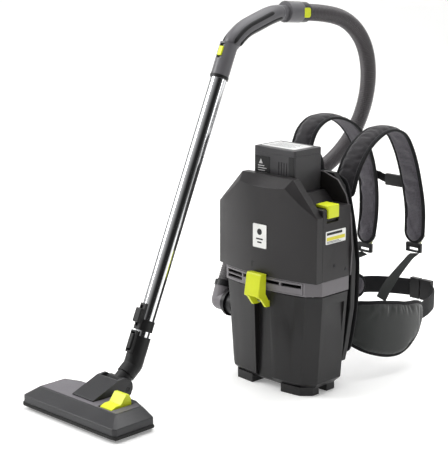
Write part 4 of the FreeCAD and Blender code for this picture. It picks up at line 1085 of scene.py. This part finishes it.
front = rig.box("battery_case")[0][1] / MM
lid_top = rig.box("battery_lid")[1][2] / MM
print(f"battery: front at {front:.1f} mm, lid's top at {lid_top:.1f} mm")
flat_piece("battery_panel", "battery_case", (-36, front, 522), *FRONT,
           rounded_rectangle(46, 62, 3), 0.8, black_ink_and_painted_shade)
flat_piece("battery_mark", "battery_case", (-41, front - 0.8, 540), *FRONT,
           [(-6, -5), (6, -5), (0, 6)], 0.2, film_pale)
for i, width in enumerate((20, 27, 22, 30)):
    flat_piece(f"battery_line_{i}", "battery_case", (-50 + width / 2, front - 0.8, 530 - 5.5 * i),
               *FRONT, rounded_rectangle(width, 2.0, 0.9), 0.2, film_pale)
flat_piece("battery_white_patch", "battery_case", (-34, front - 0.8, 501), *FRONT,
           rounded_rectangle(34, 11, 1.5), 0.25, film_white)
# A black strip down the battery's right corner: painted shade of the dark recess beside the battery.
flat_piece("battery_corner_painted_shade", "battery_case", (53, front, 512), *FRONT,
           rounded_rectangle(15, 96, 2), 0.6, black_ink_and_painted_shade)
flat_piece("battery_top_label", "battery_lid", (-2, 14, lid_top), *TOP,
           rounded_rectangle(104, 66, 4), 0.5, film_pale)
for i in range(5):
    flat_piece(f"battery_top_line_{i}", "battery_lid", (-8 + 3 * (i % 2), 33 - 9 * i, lid_top + 0.5),
               *TOP, rounded_rectangle(76 - 8 * (i % 3), 2.0, 0.9), 0.2, ink_grey)

# Thin black strips on the front cover: painted shade in its grooves and its notch.
for i in range(3):
    flat_piece(f"cover_groove_painted_shade_{i}", "front_cover", (28 + 7 * i, -79.2 + (28 + 7 * i) ** 2 / 1008, 470),
               *FRONT, rounded_rectangle(1.6, 12, 0.7), 0.5, black_ink_and_painted_shade)
flat_piece("cover_notch_painted_shade", "front_cover", (-22, -79.3, 305), *FRONT,
           [(-5, -7.5), (-2, -7.5), (-2, 4), (14, 4), (14, 7.5), (-5, 7.5)], 0.4, black_ink_and_painted_shade)

# %% Rear rim: painted highlight
RIM = [(155.2, 284), (159.2, 345), (153.2, 425), (137, 473), (112.6, 503.2), (70, 517), (-70, 517),
       (-112.6, 503.2), (-137, 473), (-153.2, 425), (-159.2, 345), (-155.2, 284)]
RIM_HIGHLIGHT_RADIUS = 1.1
REAR_FACE = 63.0
rim = respaced(np.array([(x, REAR_FACE, z) for x, z in RIM], float), 3.0)
# A light grey bead along the rear shell's rim: a painted highlight of its edge.
placed(outward(swept("rear_rim_painted_highlight", sized(rim, RIM_HIGHLIGHT_RADIUS, RIM_HIGHLIGHT_RADIUS), *cross_frame(rim, (0, 1.0, 0)),
                     round_section(8, 1))), warm_grey_abs_and_painted_highlight, "rear_shell")

# %% [markdown]
# ## Grip
# The grip is moulded in two halves over the bent pipe and swells a little where the hand closes on it. Two
# long soft inserts run along each side. Its middle line is the pipe's: straight runs joined by arcs that
# touch them.


# %% Grip
WAND_LEAN = math.radians(23.9)
WAND_WAY = np.array([0, math.sin(WAND_LEAN), math.cos(WAND_LEAN)])
TUBE_LENGTH, FOOT_SLEEVE = 610, 84
TUBE_TOP = np.array([-140, -354, 94]) + WAND_WAY * (FOOT_SLEEVE + TUBE_LENGTH)
CUFF_WAY = np.array([0, -100, 7]) / math.hypot(100, 7)
SEAT = np.array([-140, 226, 865]) + CUFF_WAY * 22.4
BEND_RADII = (133, 226)


def arc_between(before, corner, after, radius, steps=16):
    """Points on an arc that touches both runs of a bend. A point at angle a is the arc's start plus radius
    times sin a along the first run, and radius times (1 - cos a) across it."""
    first, second = corner - before, after - corner
    first, second = first / np.linalg.norm(first), second / np.linalg.norm(second)
    bend = math.acos(first @ second)
    inward = second - first * (first @ second)
    inward /= np.linalg.norm(inward)
    a = np.linspace(0, bend, steps)[:, None]
    return (corner - first * radius * math.tan(bend / 2)
            + radius * (np.sin(a) * first + (1 - np.cos(a)) * inward))


first_bend = TUBE_TOP + WAND_WAY * 105
second_bend = np.array([-140, 118, 870])
BELOW_TOP = 20
middle = respaced(np.vstack([
    (TUBE_TOP - WAND_WAY * BELOW_TOP)[None], arc_between(TUBE_TOP, first_bend, second_bend, BEND_RADII[0]),
    arc_between(first_bend, second_bend, SEAT, BEND_RADII[1]), SEAT[None]]), 4.0)
from_top = arc_length(middle) - BELOW_TOP


def along_grip(name, start, end, wide, tall, material, turn=0.0, out=0.0, ease_over=9, least=0.2):
    """A rounded section that follows the grip's middle line from start to end, in mm from the tube's top.
    With out it is moved off the line by that far, at an angle from straight sideways. It narrows towards
    both ends, from a square root of the distance."""
    part = middle[(from_top >= start) & (from_top <= end)]
    side, up = cross_frame(part, (1.0, 0, 0))
    way = math.cos(turn) * side + math.sin(turn) * up
    gap = arc_length(part)
    ease = least + (1 - least) * np.sqrt(np.clip(np.minimum(gap, gap[-1] - gap) / ease_over, 0, 1))
    swell = 1 + 0.05 * np.sin(np.pi * gap / gap[-1])
    rows = np.hstack([part + way * out, (wide * ease * swell)[:, None], (tall * ease * swell)[:, None]])
    piece = outward(swept(name, rows, np.cross(way, tangents(part)), way, round_section(32, 1.0)))
    return placed(piece, material, "handle_grip")


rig.replaces(along_grip("grip_shell", 78, 276, 21.4, 21.4, grip_abs, ease_over=30, least=0.82),
            "handle_grip")
for sign, face in ((1, "right"), (-1, "left")):
    for turn, place, reach in ((0.55, "upper", (92, 262)), (-0.45, "lower", (84, 236))):
        along_grip(f"grip_insert_{face}_{place}", *reach, 5.0, 2.4, black_nylon,
                   turn=(turn if sign > 0 else math.pi - turn), out=21.4)
MOUTH_RADIUS = 22.3
sleeve = respaced(np.vstack([TUBE_TOP - WAND_WAY * 1.0, TUBE_TOP + WAND_WAY * 6]), 3.5)
placed(outward(swept("grip_mouth_ring", sized(sleeve, MOUTH_RADIUS, MOUTH_RADIUS),
                     *cross_frame(sleeve, (1.0, 0, 0)), round_section(36, 1))), black_nylon, "handle_grip")

# %% [markdown]
# ## Floor tool trim
# The tool's top carries a lighter plate around the hood and the pedal, and a soft black bumper runs round
# its lower edge.

# %% Floor tool trim
TOOL_X, TOOL_FRONT = -140.0, -552.0
PLATE = [(-129, 37), (-126, 33), (126, 33), (129, 37), (129, 102), (108, 110), (108, 36.2), (62, 36.2),
         (62, 117), (38, 117), (38, 46), (-38, 46), (-38, 117), (-92, 117), (-129, 102)]
flat_piece("tool_top_plate", "nozzle_cover", (TOOL_X, TOOL_FRONT, 51.6), *TOP, PLATE, 1.0, tool_light)
BUMPER = [(-161, 113), (-161, 5), (-153, -1), (153, -1), (161, 5), (161, 113)]
edge = respaced(np.array([(TOOL_X + x, TOOL_FRONT + y, 12.5) for x, y in BUMPER], float), 4.0)
placed(outward(swept("tool_bumper", sized(edge, 3.6, 1.6), *cross_frame(edge, (0, 0, 1.0)),
                     round_section(12, 0.6))), seal_foam, "nozzle_cover")

# %% Hose release button
release_cap = flat_piece("hose_release_cap", "cuff_button", (-140 + 22.4, 226 - 17, 866), *RIGHT,
                         rounded_rectangle(22, 24, 6), 4.0, lime_abs)
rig.replaces(release_cap, "cuff_button")

# %% Pull tags on the strap adjusters
for name, sign in (("right", 1), ("left", -1)):
    y, z = STRAP_LINES[name][-1]
    flat_piece("pull_tag_" + name, "strap_adjusters", (sign * STRAP_X + 9, y + 15, z + 4),
               (-1, 0, 0), (0, 0.75, 0.66), rounded_rectangle(12, 36, 3), 1.2, film_white)
    flat_piece("pull_tag_tip_" + name, "strap_adjusters", (sign * STRAP_X + 9, y + 7.5, z - 2.6),
               (-1, 0, 0), (0, 0.75, 0.66), rounded_rectangle(12.6, 12, 3), 1.6, lime_abs)

print("objects in the scene:", len(bpy.data.objects))
json.dump({"cad_box": cad_box, "visual_box": [list(corner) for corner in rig.bounds()]},
          open("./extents.json", "w"))
